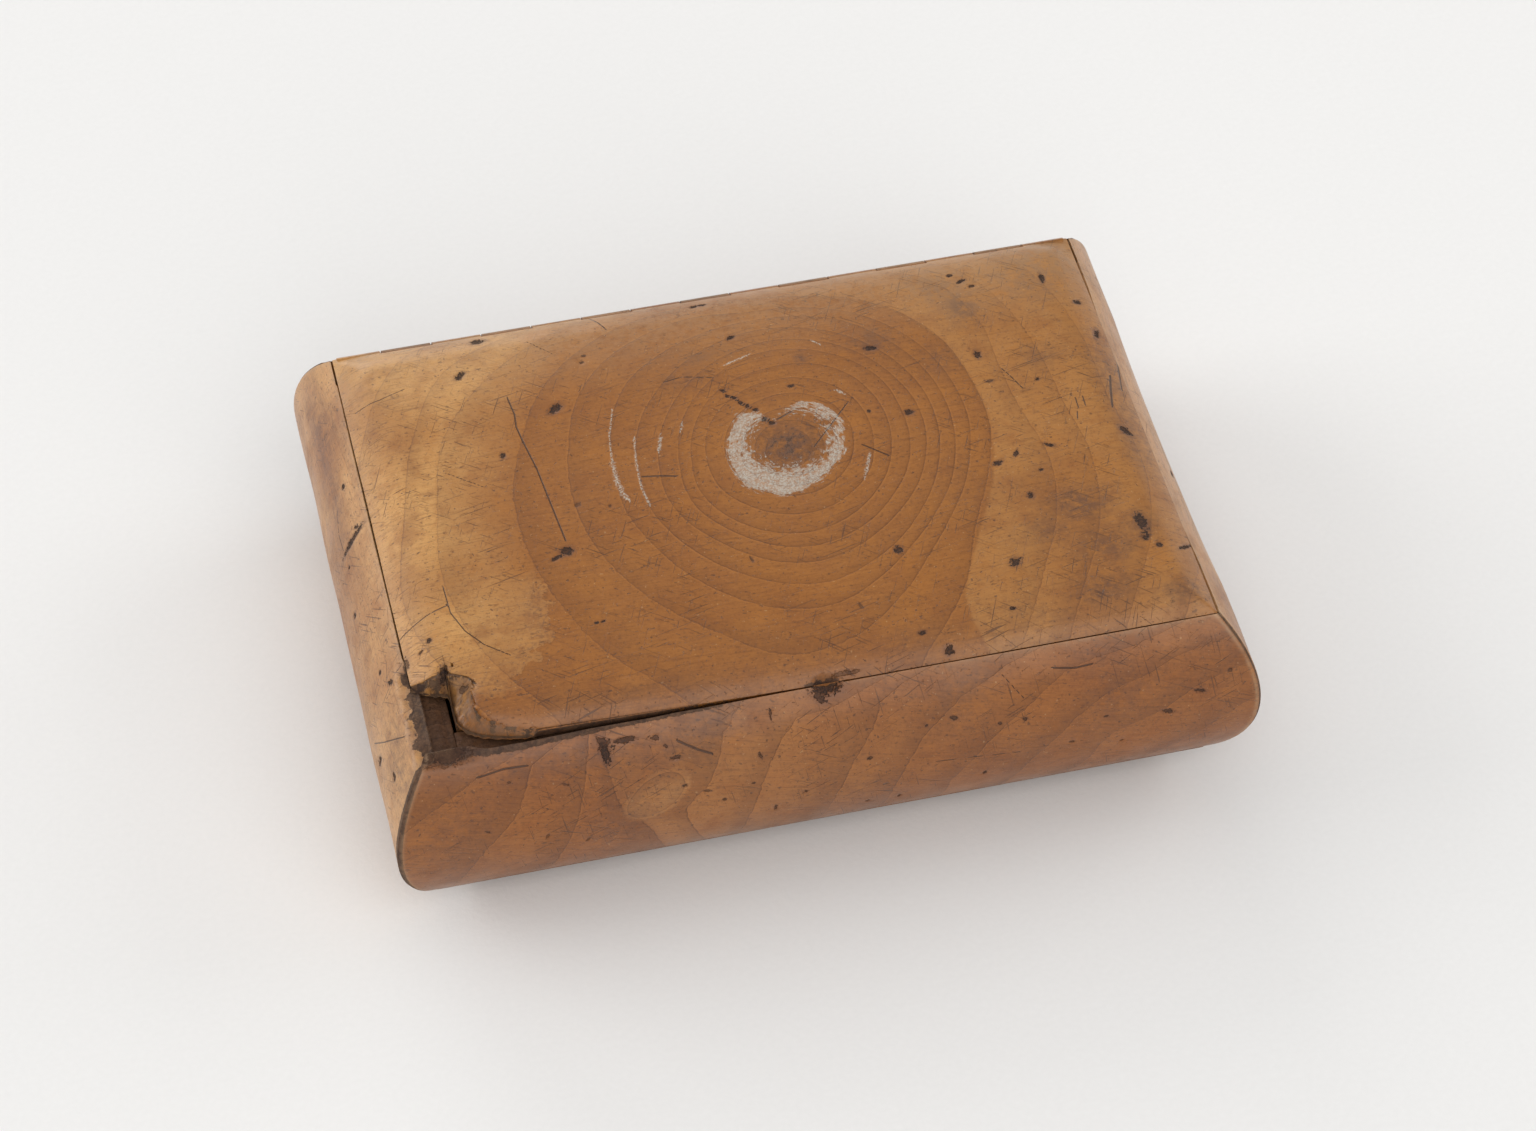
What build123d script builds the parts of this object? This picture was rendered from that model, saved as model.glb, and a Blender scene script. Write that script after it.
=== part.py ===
from build123d import *
from math import asin, cos, degrees, radians, sin
import os

# A wooden snuff box with a hinged lid. Four thin walls make the carcass, four mitred rails
# with a bulging face are glued round it, a flat board closes the bottom, and the lid turns
# on a wire pin through wooden knuckles along its back edge.
# Millimetres. X runs along the hinge, the front is at -Y, and Z is up from the flat underside.

# Seam outline, where the lid and the bottom board meet the rails
seam_length = 90.8
seam_width = 62.0
seam_bevel = 0.6
seat_depth = 1.4

# Side rails
rail_height = 23.8
rail_bulge = 4.6

# Carcass walls
wall_thickness = 3.3

# Bottom board
bottom_drop = 3.4

# Lid board, and the panel under it that drops into the mouth of the box
lid_rise = 2.3
lid_crown = 0.5
lid_gap = 0.2
lip_depth = 1.6
lip_clearance = 0.4

# Wooden knuckle hinge and its wire pin
knuckle_count = 15
knuckle_gap = 0.2
barrel_radius = 2.2
barrel_clearance = 0.15
hinge_relief = 0.8
pin_diameter = 1.0
pin_clearance = 0.05

# Corner broken off the lid at the front left, measured from the lid's own seam corner
break_side_length = 10.0
break_front_length = 8.8
break_depth_across = 7.4
break_slope = 1.4

# Pry notch worn into the middle of the front seam
notch_width = 3.2
notch_depth = 0.8

# Places that follow from the sizes
lower_seam_z = bottom_drop
upper_seam_z = lower_seam_z + rail_height
lid_seat_z = upper_seam_z - seat_depth
floor_z = lower_seam_z + seat_depth
total_height = upper_seam_z + lid_rise + lid_crown

carcass_length = seam_length - 2 * seam_bevel
carcass_width = seam_width - 2 * seam_bevel
mouth_length = carcass_length - 2 * wall_thickness
mouth_width = carcass_width - 2 * wall_thickness
wall_height = lid_seat_z - floor_z

# The rail's face is one arc, and the lid and the bottom board carry its slope on at the seams
rail_radius = (rail_height / 2) ** 2 / (2 * rail_bulge) + rail_bulge / 2
seam_angle = degrees(asin(rail_height / 2 / rail_radius))
seam_out = cos(radians(seam_angle))
seam_up = sin(radians(seam_angle))

# The hinge barrel touches the outer surface at the back seam from inside
hinge_y = seam_width / 2 - barrel_radius * seam_out
hinge_z = upper_seam_z - barrel_radius * seam_up
bearing_radius = barrel_radius + barrel_clearance
relief_radius = barrel_radius + hinge_relief
knuckle_pitch = seam_length / knuckle_count


def board_face(span, rise, crown):
    """Section of a board from seam to seam: a bevelled edge, a round shoulder and a broad top."""
    half = span / 2
    shoulder_radius = rise / (1 - seam_up)
    shoulder_inset = shoulder_radius * seam_out
    middle_angle = radians((seam_angle + 90) / 2)
    centre_x = half - shoulder_inset
    centre_z = rise - shoulder_radius
    shoulder_middle = (
        centre_x + shoulder_radius * cos(middle_angle),
        centre_z + shoulder_radius * sin(middle_angle),
    )
    foot = (half - seam_bevel, -seat_depth)
    seam = (half, 0)
    shoulder_end = (centre_x, rise)
    right = [
        Line(foot, seam),
        ThreePointArc(seam, shoulder_middle, shoulder_end),
    ]
    left = [mirror(edge, about=Plane.YZ) for edge in right]
    far_end = (-centre_x, rise)
    if crown > 0:
        top = ThreePointArc(shoulder_end, (0, rise + crown), far_end)
    else:
        top = Line(shoulder_end, far_end)
    base = Line((seam_bevel - half, -seat_depth), foot)
    return make_face(Curve() + right + [top] + left + [base])


def board(length, width, rise, crown):
    """Board with both sections, which meet in a hip at each corner, its seam plane at z = 0."""
    along = extrude(Plane.YZ * board_face(width, rise, crown), length / 2, both=True)
    across = extrude(Plane.XZ * board_face(length, rise + crown, 0), width / 2, both=True)
    return along & across


def rail(inner_length, inner_width):
    """Front rail: a bulging strip with a flat back, cut at 45 degrees to its neighbours."""
    outer = ThreePointArc((0, 0), (rail_bulge, -rail_height / 2), (0, -rail_height))
    back = Polyline(
        (0, -rail_height),
        (-seam_bevel, seat_depth - rail_height),
        (-seam_bevel, -seat_depth),
        (0, 0),
    )
    section = make_face(Curve() + [outer, back])
    strip = extrude(Plane.YZ * section, inner_length / 2 + rail_bulge, both=True)
    strip = Rot(0, 0, 180) * Pos(0, 0, upper_seam_z) * strip
    mitre_reach = rail_bulge + seam_bevel
    inner_x = inner_length / 2 - seam_bevel
    plan = Polygon(
        (-inner_x, mitre_reach),
        (-inner_x - mitre_reach, 0),
        (inner_x + mitre_reach, 0),
        (inner_x, mitre_reach),
        align=None,
    )
    mitres = Pos(0, -rail_bulge, 0) * extrude(plan, upper_seam_z)
    return Pos(0, -inner_width / 2, 0) * (strip & mitres)


def rod(radius, length, x=0):
    """Round bar along the hinge line."""
    return Pos(x, hinge_y, hinge_z) * Rot(0, 90, 0) * Cylinder(radius, length)


def knuckle_centres(first):
    """Every second knuckle's place along the hinge, from the given one."""
    start = (knuckle_pitch - seam_length) / 2
    return [start + index * knuckle_pitch for index in range(first, knuckle_count, 2)]


def wall(length, thickness):
    """Plain carcass wall that stands on the bottom board."""
    return Box(length, thickness, wall_height, align=(Align.CENTER, Align.CENTER, Align.MIN))


def pry_notch():
    """Shallow ball-shaped hollow across the front seam, shared by the lid and the rail."""
    ball_radius = notch_depth / 2 + notch_width**2 / (8 * notch_depth)
    lift = ball_radius - notch_depth
    centre_y = -seam_width / 2 - lift * seam_out
    centre_z = upper_seam_z + lift * seam_up
    return Pos(0, centre_y, centre_z) * Sphere(ball_radius)


def broken_corner():
    """Piece missing from the lid: its sides slope out from the panel's corner to the top."""
    corner_x = -seam_length / 2
    corner_y = -seam_width / 2
    panel_x = -mouth_length / 2 + lip_clearance
    panel_y = -mouth_width / 2 + lip_clearance
    margin = rail_bulge
    low = [
        (corner_x - margin, corner_y - margin),
        (corner_x - margin, corner_y + break_side_length - break_slope),
        (panel_x, corner_y + break_side_length - break_slope),
        (panel_x, panel_y),
        (corner_x + break_front_length - break_slope, panel_y),
        (corner_x + break_front_length - break_slope, corner_y - margin),
    ]
    high = [
        (corner_x - margin, corner_y - margin),
        (corner_x - margin, corner_y + break_side_length),
        (panel_x, corner_y + break_side_length),
        (corner_x + break_depth_across, corner_y + break_depth_across),
        (corner_x + break_depth_across - break_slope, panel_y),
        (corner_x + break_front_length, corner_y - margin),
    ]
    low_face = Pos(0, 0, lid_seat_z) * make_face(Polyline(*low, close=True))
    high_face = Pos(0, 0, total_height) * make_face(Polyline(*high, close=True))
    return loft([low_face, high_face], ruled=True)


def make_lid():
    """Lid board with its panel, its half of the knuckles, the broken corner and the notch."""
    body = board(seam_length - 2 * lid_gap, seam_width - 2 * lid_gap, lid_rise, lid_crown)
    lid = Pos(0, 0, upper_seam_z) * body
    panel = Box(
        mouth_length - 2 * lip_clearance,
        mouth_width - 2 * lip_clearance,
        lip_depth,
        align=(Align.CENTER, Align.CENTER, Align.MAX),
    )
    lid += Pos(0, 0, lid_seat_z) * panel
    lid -= [rod(bearing_radius, knuckle_pitch + knuckle_gap, x) for x in knuckle_centres(1)]
    barrel = [rod(barrel_radius, knuckle_pitch - knuckle_gap, x) for x in knuckle_centres(0)]
    between_rails = Box(carcass_length - 2 * lid_gap, 2 * seam_width, 2 * total_height)
    lid += [knuckle & between_rails for knuckle in barrel]
    lid -= rod(pin_diameter / 2 + pin_clearance, seam_length)
    lid -= broken_corner()
    lid -= pry_notch()
    return lid


def make_back_wall():
    """Back wall, whose top edge carries the other half of the knuckles."""
    back = Pos(0, (mouth_width + wall_thickness) / 2, floor_z) * wall(mouth_length, wall_thickness)
    back -= [rod(bearing_radius, knuckle_pitch + knuckle_gap, x) for x in knuckle_centres(0)]
    back += [rod(barrel_radius, knuckle_pitch - knuckle_gap, x) for x in knuckle_centres(1)]
    back -= rod(pin_diameter / 2 + pin_clearance, seam_length)
    return back


def make_side_wall(side):
    """Left or right wall. It runs the full depth, and gives way to the lid's end knuckle."""
    place = Pos(side * (mouth_length + wall_thickness) / 2, 0, floor_z)
    upright = place * wall(wall_thickness, carcass_width)
    return upright - rod(bearing_radius, seam_length)


hinge_trough = rod(relief_radius, seam_length + 2 * lid_gap)
front_rail = rail(seam_length, seam_width)
right_rail = Rot(0, 0, 90) * rail(seam_width, seam_length)

parts = {
    "lid": make_lid(),
    "wall_front": Pos(0, -(mouth_width + wall_thickness) / 2, floor_z)
    * wall(mouth_length, wall_thickness),
    "wall_back": make_back_wall(),
    "wall_left": make_side_wall(-1),
    "wall_right": make_side_wall(1),
    "rail_front": front_rail - pry_notch(),
    "rail_back": Rot(0, 0, 180) * front_rail - hinge_trough,
    "rail_left": Rot(0, 0, 180) * right_rail - hinge_trough,
    "rail_right": right_rail - hinge_trough,
    "bottom_board": Pos(0, 0, lower_seam_z)
    * Rot(180, 0, 0)
    * board(seam_length, seam_width, bottom_drop, 0),
    "hinge_pin": rod(pin_diameter / 2, carcass_length - 2 * lid_gap),
}

os.makedirs("parts", exist_ok=True)
for name, shape in parts.items():
    export_step(shape, f"parts/{name}.step")
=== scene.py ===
import math
import bpy
import numpy as np
from mathutils import Matrix


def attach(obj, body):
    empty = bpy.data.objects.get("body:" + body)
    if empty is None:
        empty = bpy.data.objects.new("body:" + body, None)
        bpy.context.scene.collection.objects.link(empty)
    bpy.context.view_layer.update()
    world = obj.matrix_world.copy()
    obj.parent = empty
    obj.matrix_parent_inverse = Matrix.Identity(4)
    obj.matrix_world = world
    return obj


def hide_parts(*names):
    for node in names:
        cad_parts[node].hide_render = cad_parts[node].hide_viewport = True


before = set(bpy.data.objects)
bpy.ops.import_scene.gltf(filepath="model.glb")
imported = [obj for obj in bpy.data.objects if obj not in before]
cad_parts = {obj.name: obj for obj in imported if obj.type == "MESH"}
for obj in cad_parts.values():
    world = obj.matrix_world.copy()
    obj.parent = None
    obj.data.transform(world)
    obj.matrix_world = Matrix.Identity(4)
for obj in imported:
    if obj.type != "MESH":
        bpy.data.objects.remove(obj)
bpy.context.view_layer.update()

# Stage. The box stands on a sheet of matt white paper in a pale room, lit by five large soft
# lamps: overhead, in front, at both ends, and low at the back, where it glints on the shoulders.
# Shapes are worked out in millimetres and written to the meshes in metres.
MM = 0.001


class Finish:
    """A material in the making. Each method adds one shader node and returns its output."""

    def __init__(self, name):
        self.material = bpy.data.materials.new(name)
        self.material.use_nodes = True
        self.tree = self.material.node_tree
        self.surface = self.tree.nodes["Principled BSDF"]
        place = self.add("TexCoord", {}, "Object")
        self.place = self.add("VectorMath", {0: place, "Scale": 1 / MM}, 0, operation="SCALE")

    def add(self, kind, inputs, out=0, **settings):
        node = self.tree.nodes.new("ShaderNode" + kind)
        for key, value in settings.items():
            setattr(node, key, value)
        for key, value in inputs.items():
            if isinstance(value, bpy.types.NodeSocket):
                self.tree.links.new(value, node.inputs[key])
            else:
                node.inputs[key].default_value = value
        return node.outputs[out]

    def math(self, operation, a, b=0.0):
        return self.add("Math", {0: a, 1: b}, operation=operation)

    def plus(self, a, b):
        return self.math("ADD", a, b)

    def minus(self, a, b):
        return self.math("SUBTRACT", a, b)

    def times(self, first, *others):
        for other in others:
            first = self.math("MULTIPLY", first, other)
        return first

    def step(self, value, low, high):
        """Smooth step from 0 at low to 1 at high. Low may be the larger of the two."""
        inputs = {"Value": value, "From Min": low, "From Max": high}
        return self.add("MapRange", inputs, interpolation_type="SMOOTHSTEP")

    def mix(self, share, a, b):
        return self.add("Mix", {0: share, 6: a, 7: b}, 2, data_type="RGBA")

    def stretch(self, vector, x, y, z):
        return self.add("VectorMath", {0: vector, 1: (x, y, z)}, operation="MULTIPLY")

    def noise(self, vector, scale, detail=2.0, rough=0.5):
        inputs = {"Vector": vector, "Scale": scale, "Detail": detail, "Roughness": rough}
        return self.add("TexNoise", inputs, "Fac")

    def scratches(self, vector, angle, length, width, cut):
        """Short thin lines in one direction: where a long narrow noise rises above the cut."""
        inputs = {"Vector": vector, "Rotation": (0, 0, math.radians(angle)),
                  "Scale": (length, width, 1), "Location": (angle, length, width)}
        narrow = self.add("Mapping", inputs, vector_type="TEXTURE")
        inputs = {"Vector": narrow, "Scale": 1.0, "Detail": 0.0, "Distortion": 0.35}
        return self.step(self.add("TexNoise", inputs, "Fac"), cut, cut + 0.03)

    def attribute(self, name, out="Fac"):
        return self.add("Attribute", {}, out, attribute_name=name)

    def bump(self, height, depth):
        return self.add("Bump", {"Strength": 1.0, "Distance": depth * MM, "Height": height}, "Normal")

    def link(self, socket, value):
        self.tree.links.new(value, self.surface.inputs[socket])

    def set(self, **values):
        names = {"gloss": "Specular IOR Level", "metal": "Metallic", "roughness": "Roughness"}
        for key, value in values.items():
            self.surface.inputs[names[key]].default_value = value


paper = Finish("white_paper")
tooth = paper.noise(paper.place, 1.4, 4.0)
paper.link("Base Color", paper.mix(tooth, (0.80, 0.795, 0.785, 1), (0.84, 0.835, 0.825, 1)))
paper.link("Normal", paper.bump(tooth, 0.03))
paper.set(roughness=0.95, gloss=0.1)

sheet_half = 2.5
bpy.ops.mesh.primitive_grid_add(x_subdivisions=8, y_subdivisions=8, size=2 * sheet_half)
floor = bpy.context.object
floor.name = "paper_sheet"
floor.data.materials.append(paper.material)

lens_length = 101.71
turn = math.radians(-13.717)
tilt = math.radians(48.753)
roll = math.radians(0.388)
back = np.array([
    math.sin(turn) * math.cos(tilt),
    -math.cos(turn) * math.cos(tilt),
    math.sin(tilt),
])
right = np.array([math.cos(turn), math.sin(turn), 0])
up = np.cross(back, right)
eye = np.array([-2.438, -12.41, 27.2]) + 492.3 * back
pose = np.eye(4)
pose[:3, 0] = right * math.cos(roll) + up * math.sin(roll)
pose[:3, 1] = up * math.cos(roll) - right * math.sin(roll)
pose[:3, 2] = back
pose[:3, 3] = eye * MM
camera = bpy.data.objects.new("camera", bpy.data.cameras.new("camera"))
bpy.context.collection.objects.link(camera)
camera.data.sensor_width = 36
camera.data.lens = lens_length
camera.data.clip_start = 0.01
camera.matrix_world = Matrix(pose.tolist())
bpy.context.scene.camera = camera
bpy.context.scene.view_settings.view_transform = "Standard"


def soft_lamp(name, place, aim, size, power, tint):
    """Square area lamp at a place in metres, turned to face its aim."""
    lamp = bpy.data.objects.new(name, bpy.data.lights.new(name, "AREA"))
    bpy.context.collection.objects.link(lamp)
    lamp.data.size = size
    lamp.data.energy = power
    lamp.data.color = tint
    away = np.array(place, float) - np.array(aim, float)
    away /= np.linalg.norm(away)
    side = np.cross((0, 0, 1), away)
    side /= np.linalg.norm(side)
    facing = np.eye(4)
    facing[:3, 0] = side
    facing[:3, 1] = np.cross(away, side)
    facing[:3, 2] = away
    facing[:3, 3] = place
    lamp.matrix_world = Matrix(facing.tolist())


warm_white = (1.0, 0.985, 0.965)
soft_lamp("top_lamp", (-0.3, 0.3, 2.6), (0, 0, 0), 2.6, 9.0, warm_white)
soft_lamp("front_lamp", (0.4, -2.3, 1.9), (0, 0, 0), 3.2, 60.0, (1.0, 0.99, 0.975))
soft_lamp("back_lamp", (-0.6, 3.2, 1.3), (0, 0, 0.02), 2.1, 30.0, (1.0, 0.985, 0.96))
soft_lamp("left_lamp", (-2.4, 1.1, 1.0), (0, 0, 0), 2.1, 40.0, warm_white)
soft_lamp("right_lamp", (2.5, 0.6, 1.0), (0, 0, 0), 2.0, 22.0, warm_white)
room = bpy.data.worlds.new("pale_room")
room.use_nodes = True
air = room.node_tree.nodes["Background"].inputs
air["Color"].default_value = (0.96, 0.975, 1.0, 1)
air["Strength"].default_value = 0.385
bpy.context.scene.world = room

# Bottom board. One flat plank of the same wood with a round shoulder all round,
# glued under the carcass. The box stands on its flat middle.
seam_half_length = 45.4
seam_half_width = 31.0
seam_bevel = 0.6
seat_depth = 1.4
lower_seam = 3.4
upper_seam = 27.2
rail_bulge = 4.6
rail_half_height = (upper_seam - lower_seam) / 2
rail_radius = rail_half_height**2 / (2 * rail_bulge) + rail_bulge / 2
seam_up = rail_half_height / rail_radius
seam_out = math.sqrt(1 - seam_up**2)


def unit(value):
    """The value kept between 0 and 1."""
    return np.clip(value, 0, 1)


def coords(*axes):
    """Points from an array or a number for each axis."""
    return np.stack(np.broadcast_arrays(*axes), axis=-1)


def waves(x, y, size, seed):
    """Slow unevenness from -1 to 1: a sum of eight sine waves with seeded directions and phases,
    whose lengths lie round the given size."""
    draw = np.random.default_rng(seed)
    total = 0
    for _ in range(8):
        direction = draw.uniform(0, math.tau)
        length = size * draw.uniform(0.6, 1.7)
        across = x * math.cos(direction) + y * math.sin(direction)
        total = total + np.sin(across * math.tau / length + draw.uniform(0, math.tau))
    return total / 8 * 1.6


def shoulder_height(reach, half, rise, crown):
    """Height above the seam at a distance from the middle: a circular arc that leaves the seam at
    the rail's slope, then a parabola that adds the crown towards the middle."""
    radius = rise / (1 - seam_up)
    centre = half - radius * seam_out
    past = np.clip(reach - centre, 0, radius)
    arc = rise - radius + np.sqrt(radius**2 - past**2)
    return arc + crown * (1 - unit(reach / centre) ** 2)


def soft_min(a, b, blend):
    """The smaller of two heights, rounded off where they are within the blend of each other."""
    share = unit(0.5 + 0.5 * (b - a) / blend)
    return b * (1 - share) + a * share - blend * share * (1 - share)


def spaced(start, end, step, fine, reach):
    """Places from start to end: the step in the middle, and the fine step within reach of both
    ends. The steps grow evenly between the two."""
    places = [0.0]
    length = end - start
    while places[-1] < length:
        gap = min(places[-1], length - places[-1])
        share = min(1.0, max(0.0, gap / reach))
        places.append(places[-1] + fine + (step - fine) * share)
    places = np.array(places)
    return start + places * length / places[-1]


def loft(name, loops, sharp=35.0):
    """Mesh through a row of closed loops given in millimetres, shaped (stations, points, 3):
    four-sided faces between neighbours, and one flat face at each end."""
    stations, points, _ = loops.shape
    index = np.arange(stations * points).reshape(stations, points)
    following = np.roll(index, -1, axis=1)
    quads = coords(index[:-1], index[1:], following[1:], following[:-1])
    faces = quads.reshape(-1, 4).tolist()
    faces += [index[0].tolist(), index[-1, ::-1].tolist()]
    mesh = bpy.data.meshes.new(name)
    mesh.from_pydata((loops.reshape(-1, 3) * MM).tolist(), [], faces)
    mesh.shade_smooth()
    mesh.set_sharp_from_angle(angle=math.radians(sharp))
    piece = bpy.data.objects.new(name, mesh)
    bpy.context.collection.objects.link(piece)
    return piece


def paint(piece, name, values):
    """Store one number or one vector for each vertex as a named attribute."""
    values = np.asarray(values, np.float32)
    kind = "FLOAT" if values.ndim == 1 else "FLOAT_VECTOR"
    attribute = piece.data.attributes.new(name, kind, "POINT")
    field = "value" if kind == "FLOAT" else "vector"
    attribute.data.foreach_set(field, values.ravel())


def paint_all(piece, **fields):
    """Store several attributes, each under its keyword."""
    for name, values in fields.items():
        paint(piece, name, values)


def fit(piece, material, body, slot, *nodes):
    """Give a piece its finish, and say what it rides on and what it replaces. The slot is not used."""
    piece.data.materials.append(material)
    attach(piece, body)
    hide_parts(*nodes)


# How the wood is painted is told to its shader by attributes of the mesh:
# ring: ring number with its fraction; ring_gap: millimetres from one ring line to the next
# ring_show: how plainly its rings show; pale: how pale the outer wood is where it starts
# sap: millimetres into the pale outer wood; rag: how ragged the outer wood's boundary is
# grain: place along and across the fibres; face: place on the flat of the board
# dent, crack, streak: place within the nearest mark, with the plain distance third
# dent_show: strength of the nearest dent; chalk: how far inside the chalk; round: place round
# the knot; stain_and_shade, grime_and_shade, wear_and_sheen: how much smoke, dirt and rubbing the place has
# had, 0 to 1, with painted shade and painted sheen in them in places
FAR = 9.0    # stands for no mark near


def yew(name, heart, sap, dark, marks=False, chalk=False, flecks=1.0, contrast=1.0, gloss=0.42):
    """Waxed yew. Colour goes from heart to sap, darkens towards each ring line and breaks off
    behind it, with fine fibres, ray flecks, pores, stains and the marks of long use, and some painted
    glints, shade and sheen."""
    f = Finish(name)
    face = f.attribute("face", "Vector")
    grain = f.attribute("grain", "Vector")
    show = f.attribute("ring_show")
    rag = f.attribute("rag")
    patch = f.noise(f.place, 0.055, 3.0, 0.55)
    cloud = f.noise(f.place, 0.25, 4.0, 0.6)
    smudge = f.noise(f.place, 0.9, 5.0, 0.7)
    crumb = f.noise(f.place, 2.4, 3.0, 0.65)
    grit = f.noise(f.place, 5.0, 2.0, 0.6)
    fibre = f.noise(f.stretch(grain, 0.22, 2.6, 1.0), 1.0, 4.0, 0.6)
    hair = f.noise(f.stretch(grain, 0.35, 9.0, 1.0), 1.0, 2.0, 0.5)
    planed = f.noise(f.stretch(face, 0.20, 5.5, 1.0), 1.0, 2.0, 0.5)

    # Heart and sap, with the torn skin of old wax along the ragged part of their boundary
    wander = f.times(f.minus(f.noise(f.place, 0.40, 5.0, 0.62), 0.5), rag, 8.5)
    sap_edge = f.plus(f.attribute("sap"), wander)
    share = f.times(f.step(sap_edge, -0.25, 0.45), f.attribute("pale"))
    colour = f.mix(share, heart, sap)
    rim = f.step(f.math("ABSOLUTE", sap_edge), 0.26, 0.0)
    inner_rim = f.step(f.math("ABSOLUTE", f.minus(sap_edge, 1.5)), 0.20, 0.0)
    beside = f.times(f.step(sap_edge, 0.0, 0.4), f.step(sap_edge, 3.6, 1.2))
    scuffed = f.times(beside, rag, f.step(crumb, 0.40, 0.62))
    colour = f.mix(f.times(scuffed, 0.40), colour, (0.18, 0.095, 0.050, 1))
    colour = f.mix(f.times(rim, f.plus(f.times(rag, 0.42), 0.16)), colour, dark)
    colour = f.mix(f.times(inner_rim, rag, f.step(smudge, 0.40, 0.60), 0.45), colour, dark)

    # Tone, from broad clouds down to single fibres, the lines left by the plane and fine crumbs
    warm = (heart[0] * 0.82, heart[1] * 0.72, heart[2] * 0.60, 1)
    light = (min(1, heart[0] * 1.30), heart[1] * 1.34, heart[2] * 1.40, 1)
    for pattern, low, high, strength, tint in [
        (patch, 0.38, 0.66, 0.55, warm),
        (cloud, 0.48, 0.72, 0.50, warm), (cloud, 0.52, 0.28, 0.40, light),
        (fibre, 0.50, 0.74, 0.30 * contrast, dark), (fibre, 0.50, 0.26, 0.26 * contrast, light),
        (hair, 0.56, 0.76, 0.26 * contrast, dark), (hair, 0.46, 0.28, 0.22 * contrast, light),
        (planed, 0.50, 0.76, 0.12, dark), (planed, 0.50, 0.24, 0.10, light),
        (smudge, 0.52, 0.70, 0.30 * contrast, warm),
        (crumb, 0.52, 0.72, 0.34 * contrast, dark), (crumb, 0.48, 0.30, 0.26 * contrast, light),
    ]:
        colour = f.mix(f.times(f.step(pattern, low, high), strength), colour, tint)

    # Growth rings: darker towards the line, which ends sharply, with a pale thread behind it
    wobble = f.times(f.minus(smudge, 0.5), 0.10)
    part = f.math("FRACT", f.plus(f.attribute("ring"), wobble))
    gap = f.attribute("ring_gap")
    behind = f.times(part, gap)
    ahead = f.times(f.minus(1.0, part), gap)
    uneven = f.plus(f.times(f.step(cloud, 0.30, 0.65), 0.6), 0.4)
    late = f.times(f.math("POWER", f.step(part, 0.30, 1.0), 1.5), show)
    line = f.times(f.step(ahead, 0.24, 0.03), show, uneven)
    thread = f.times(f.step(behind, 0.32, 0.05), f.step(part, 0.0, 0.02), show, uneven)
    colour = f.mix(f.times(late, 0.26), colour, dark)
    colour = f.mix(f.times(line, 0.55), colour, dark)
    colour = f.mix(f.times(thread, 0.50), colour, light)

    # Ray flecks and pores, the hairline scratches of daily use in worn patches, and painted glints
    brown = (0.070, 0.028, 0.013, 1)
    fleck = f.noise(f.stretch(grain, 1.1, 4.5, 1.0), 1.0, 1.0, 0.4)
    fleck = f.times(f.step(fleck, 0.70, 0.77), flecks)
    pore = f.times(f.step(f.noise(f.place, 2.3, 1.0, 0.4), 0.715, 0.765), flecks)
    speck = f.noise(f.stretch(face, 1.0, 1.7, 1.0), 1.35, 2.0, 0.5)
    speck = f.times(f.step(speck, 0.635, 0.71), flecks)
    for spots, strength in ((fleck, 0.42), (pore, 0.60), (speck, 0.52)):
        colour = f.mix(f.times(spots, strength), colour, brown)
    used = f.plus(f.times(f.step(f.noise(f.place, 0.10, 2.0, 0.5), 0.42, 0.62), 0.85), 0.15)
    first = f.scratches(face, 14, 5.6, 0.17, 0.750)
    second = f.scratches(face, -37, 3.6, 0.16, 0.740)
    third = f.scratches(face, 66, 4.1, 0.15, 0.755)
    scratch = f.times(f.math("MAXIMUM", f.math("MAXIMUM", first, second), third), used)
    colour = f.mix(f.times(scratch, 0.66 * flecks), colour, brown)
    # Painted glints: small light specks mixed into the colour to stand for glints of light
    painted_glint = f.times(f.step(f.noise(f.place, 2.9, 1.0, 0.4), 0.735, 0.775), flecks)
    colour = f.mix(f.times(painted_glint, 0.26), colour, (0.60, 0.40, 0.20, 1))

    # Smoke, dirt and rubbing, with painted shade and painted sheen carried in the same attributes. Dirt is
    # a thin film where there is little and a torn crust where there is much, and the same crust and film
    # paint the shade on the lid's edges, in open mitres and in the break's crevice
    # The stain attribute holds smoke, and on the lid's front shoulder painted shade
    smoke_and_shade = f.times(f.attribute("stain_and_shade"), f.step(smudge, 0.30, 0.60))
    colour = f.mix(f.times(smoke_and_shade, 0.82), colour, (0.085, 0.045, 0.034, 1))
    grime_and_shade = f.attribute("grime_and_shade")
    torn = f.plus(f.times(f.minus(crumb, 0.5), 0.6), f.times(f.minus(smudge, 0.5), 1.2))
    solid = f.plus(f.times(f.step(crumb, 0.32, 0.60), 0.14), 0.82)
    crust = f.times(f.step(f.plus(grime_and_shade, torn), 0.50, 0.60), solid)
    film = f.times(grime_and_shade, f.step(crumb, 0.30, 0.60), 0.55)
    dirt = f.mix(f.step(smudge, 0.42, 0.62), (0.034, 0.015, 0.008, 1), (0.082, 0.040, 0.020, 1))
    colour = f.mix(f.math("MAXIMUM", crust, film), colour, dirt)
    # Wear lightens rubbed places. On the back of the lid's top it is painted sheen
    wear_and_sheen = f.times(f.attribute("wear_and_sheen"), f.plus(f.times(f.step(smudge, 0.36, 0.60), 0.5), 0.5))
    colour = f.mix(f.times(wear_and_sheen, 0.75), colour, (0.52, 0.34, 0.19, 1))

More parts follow.
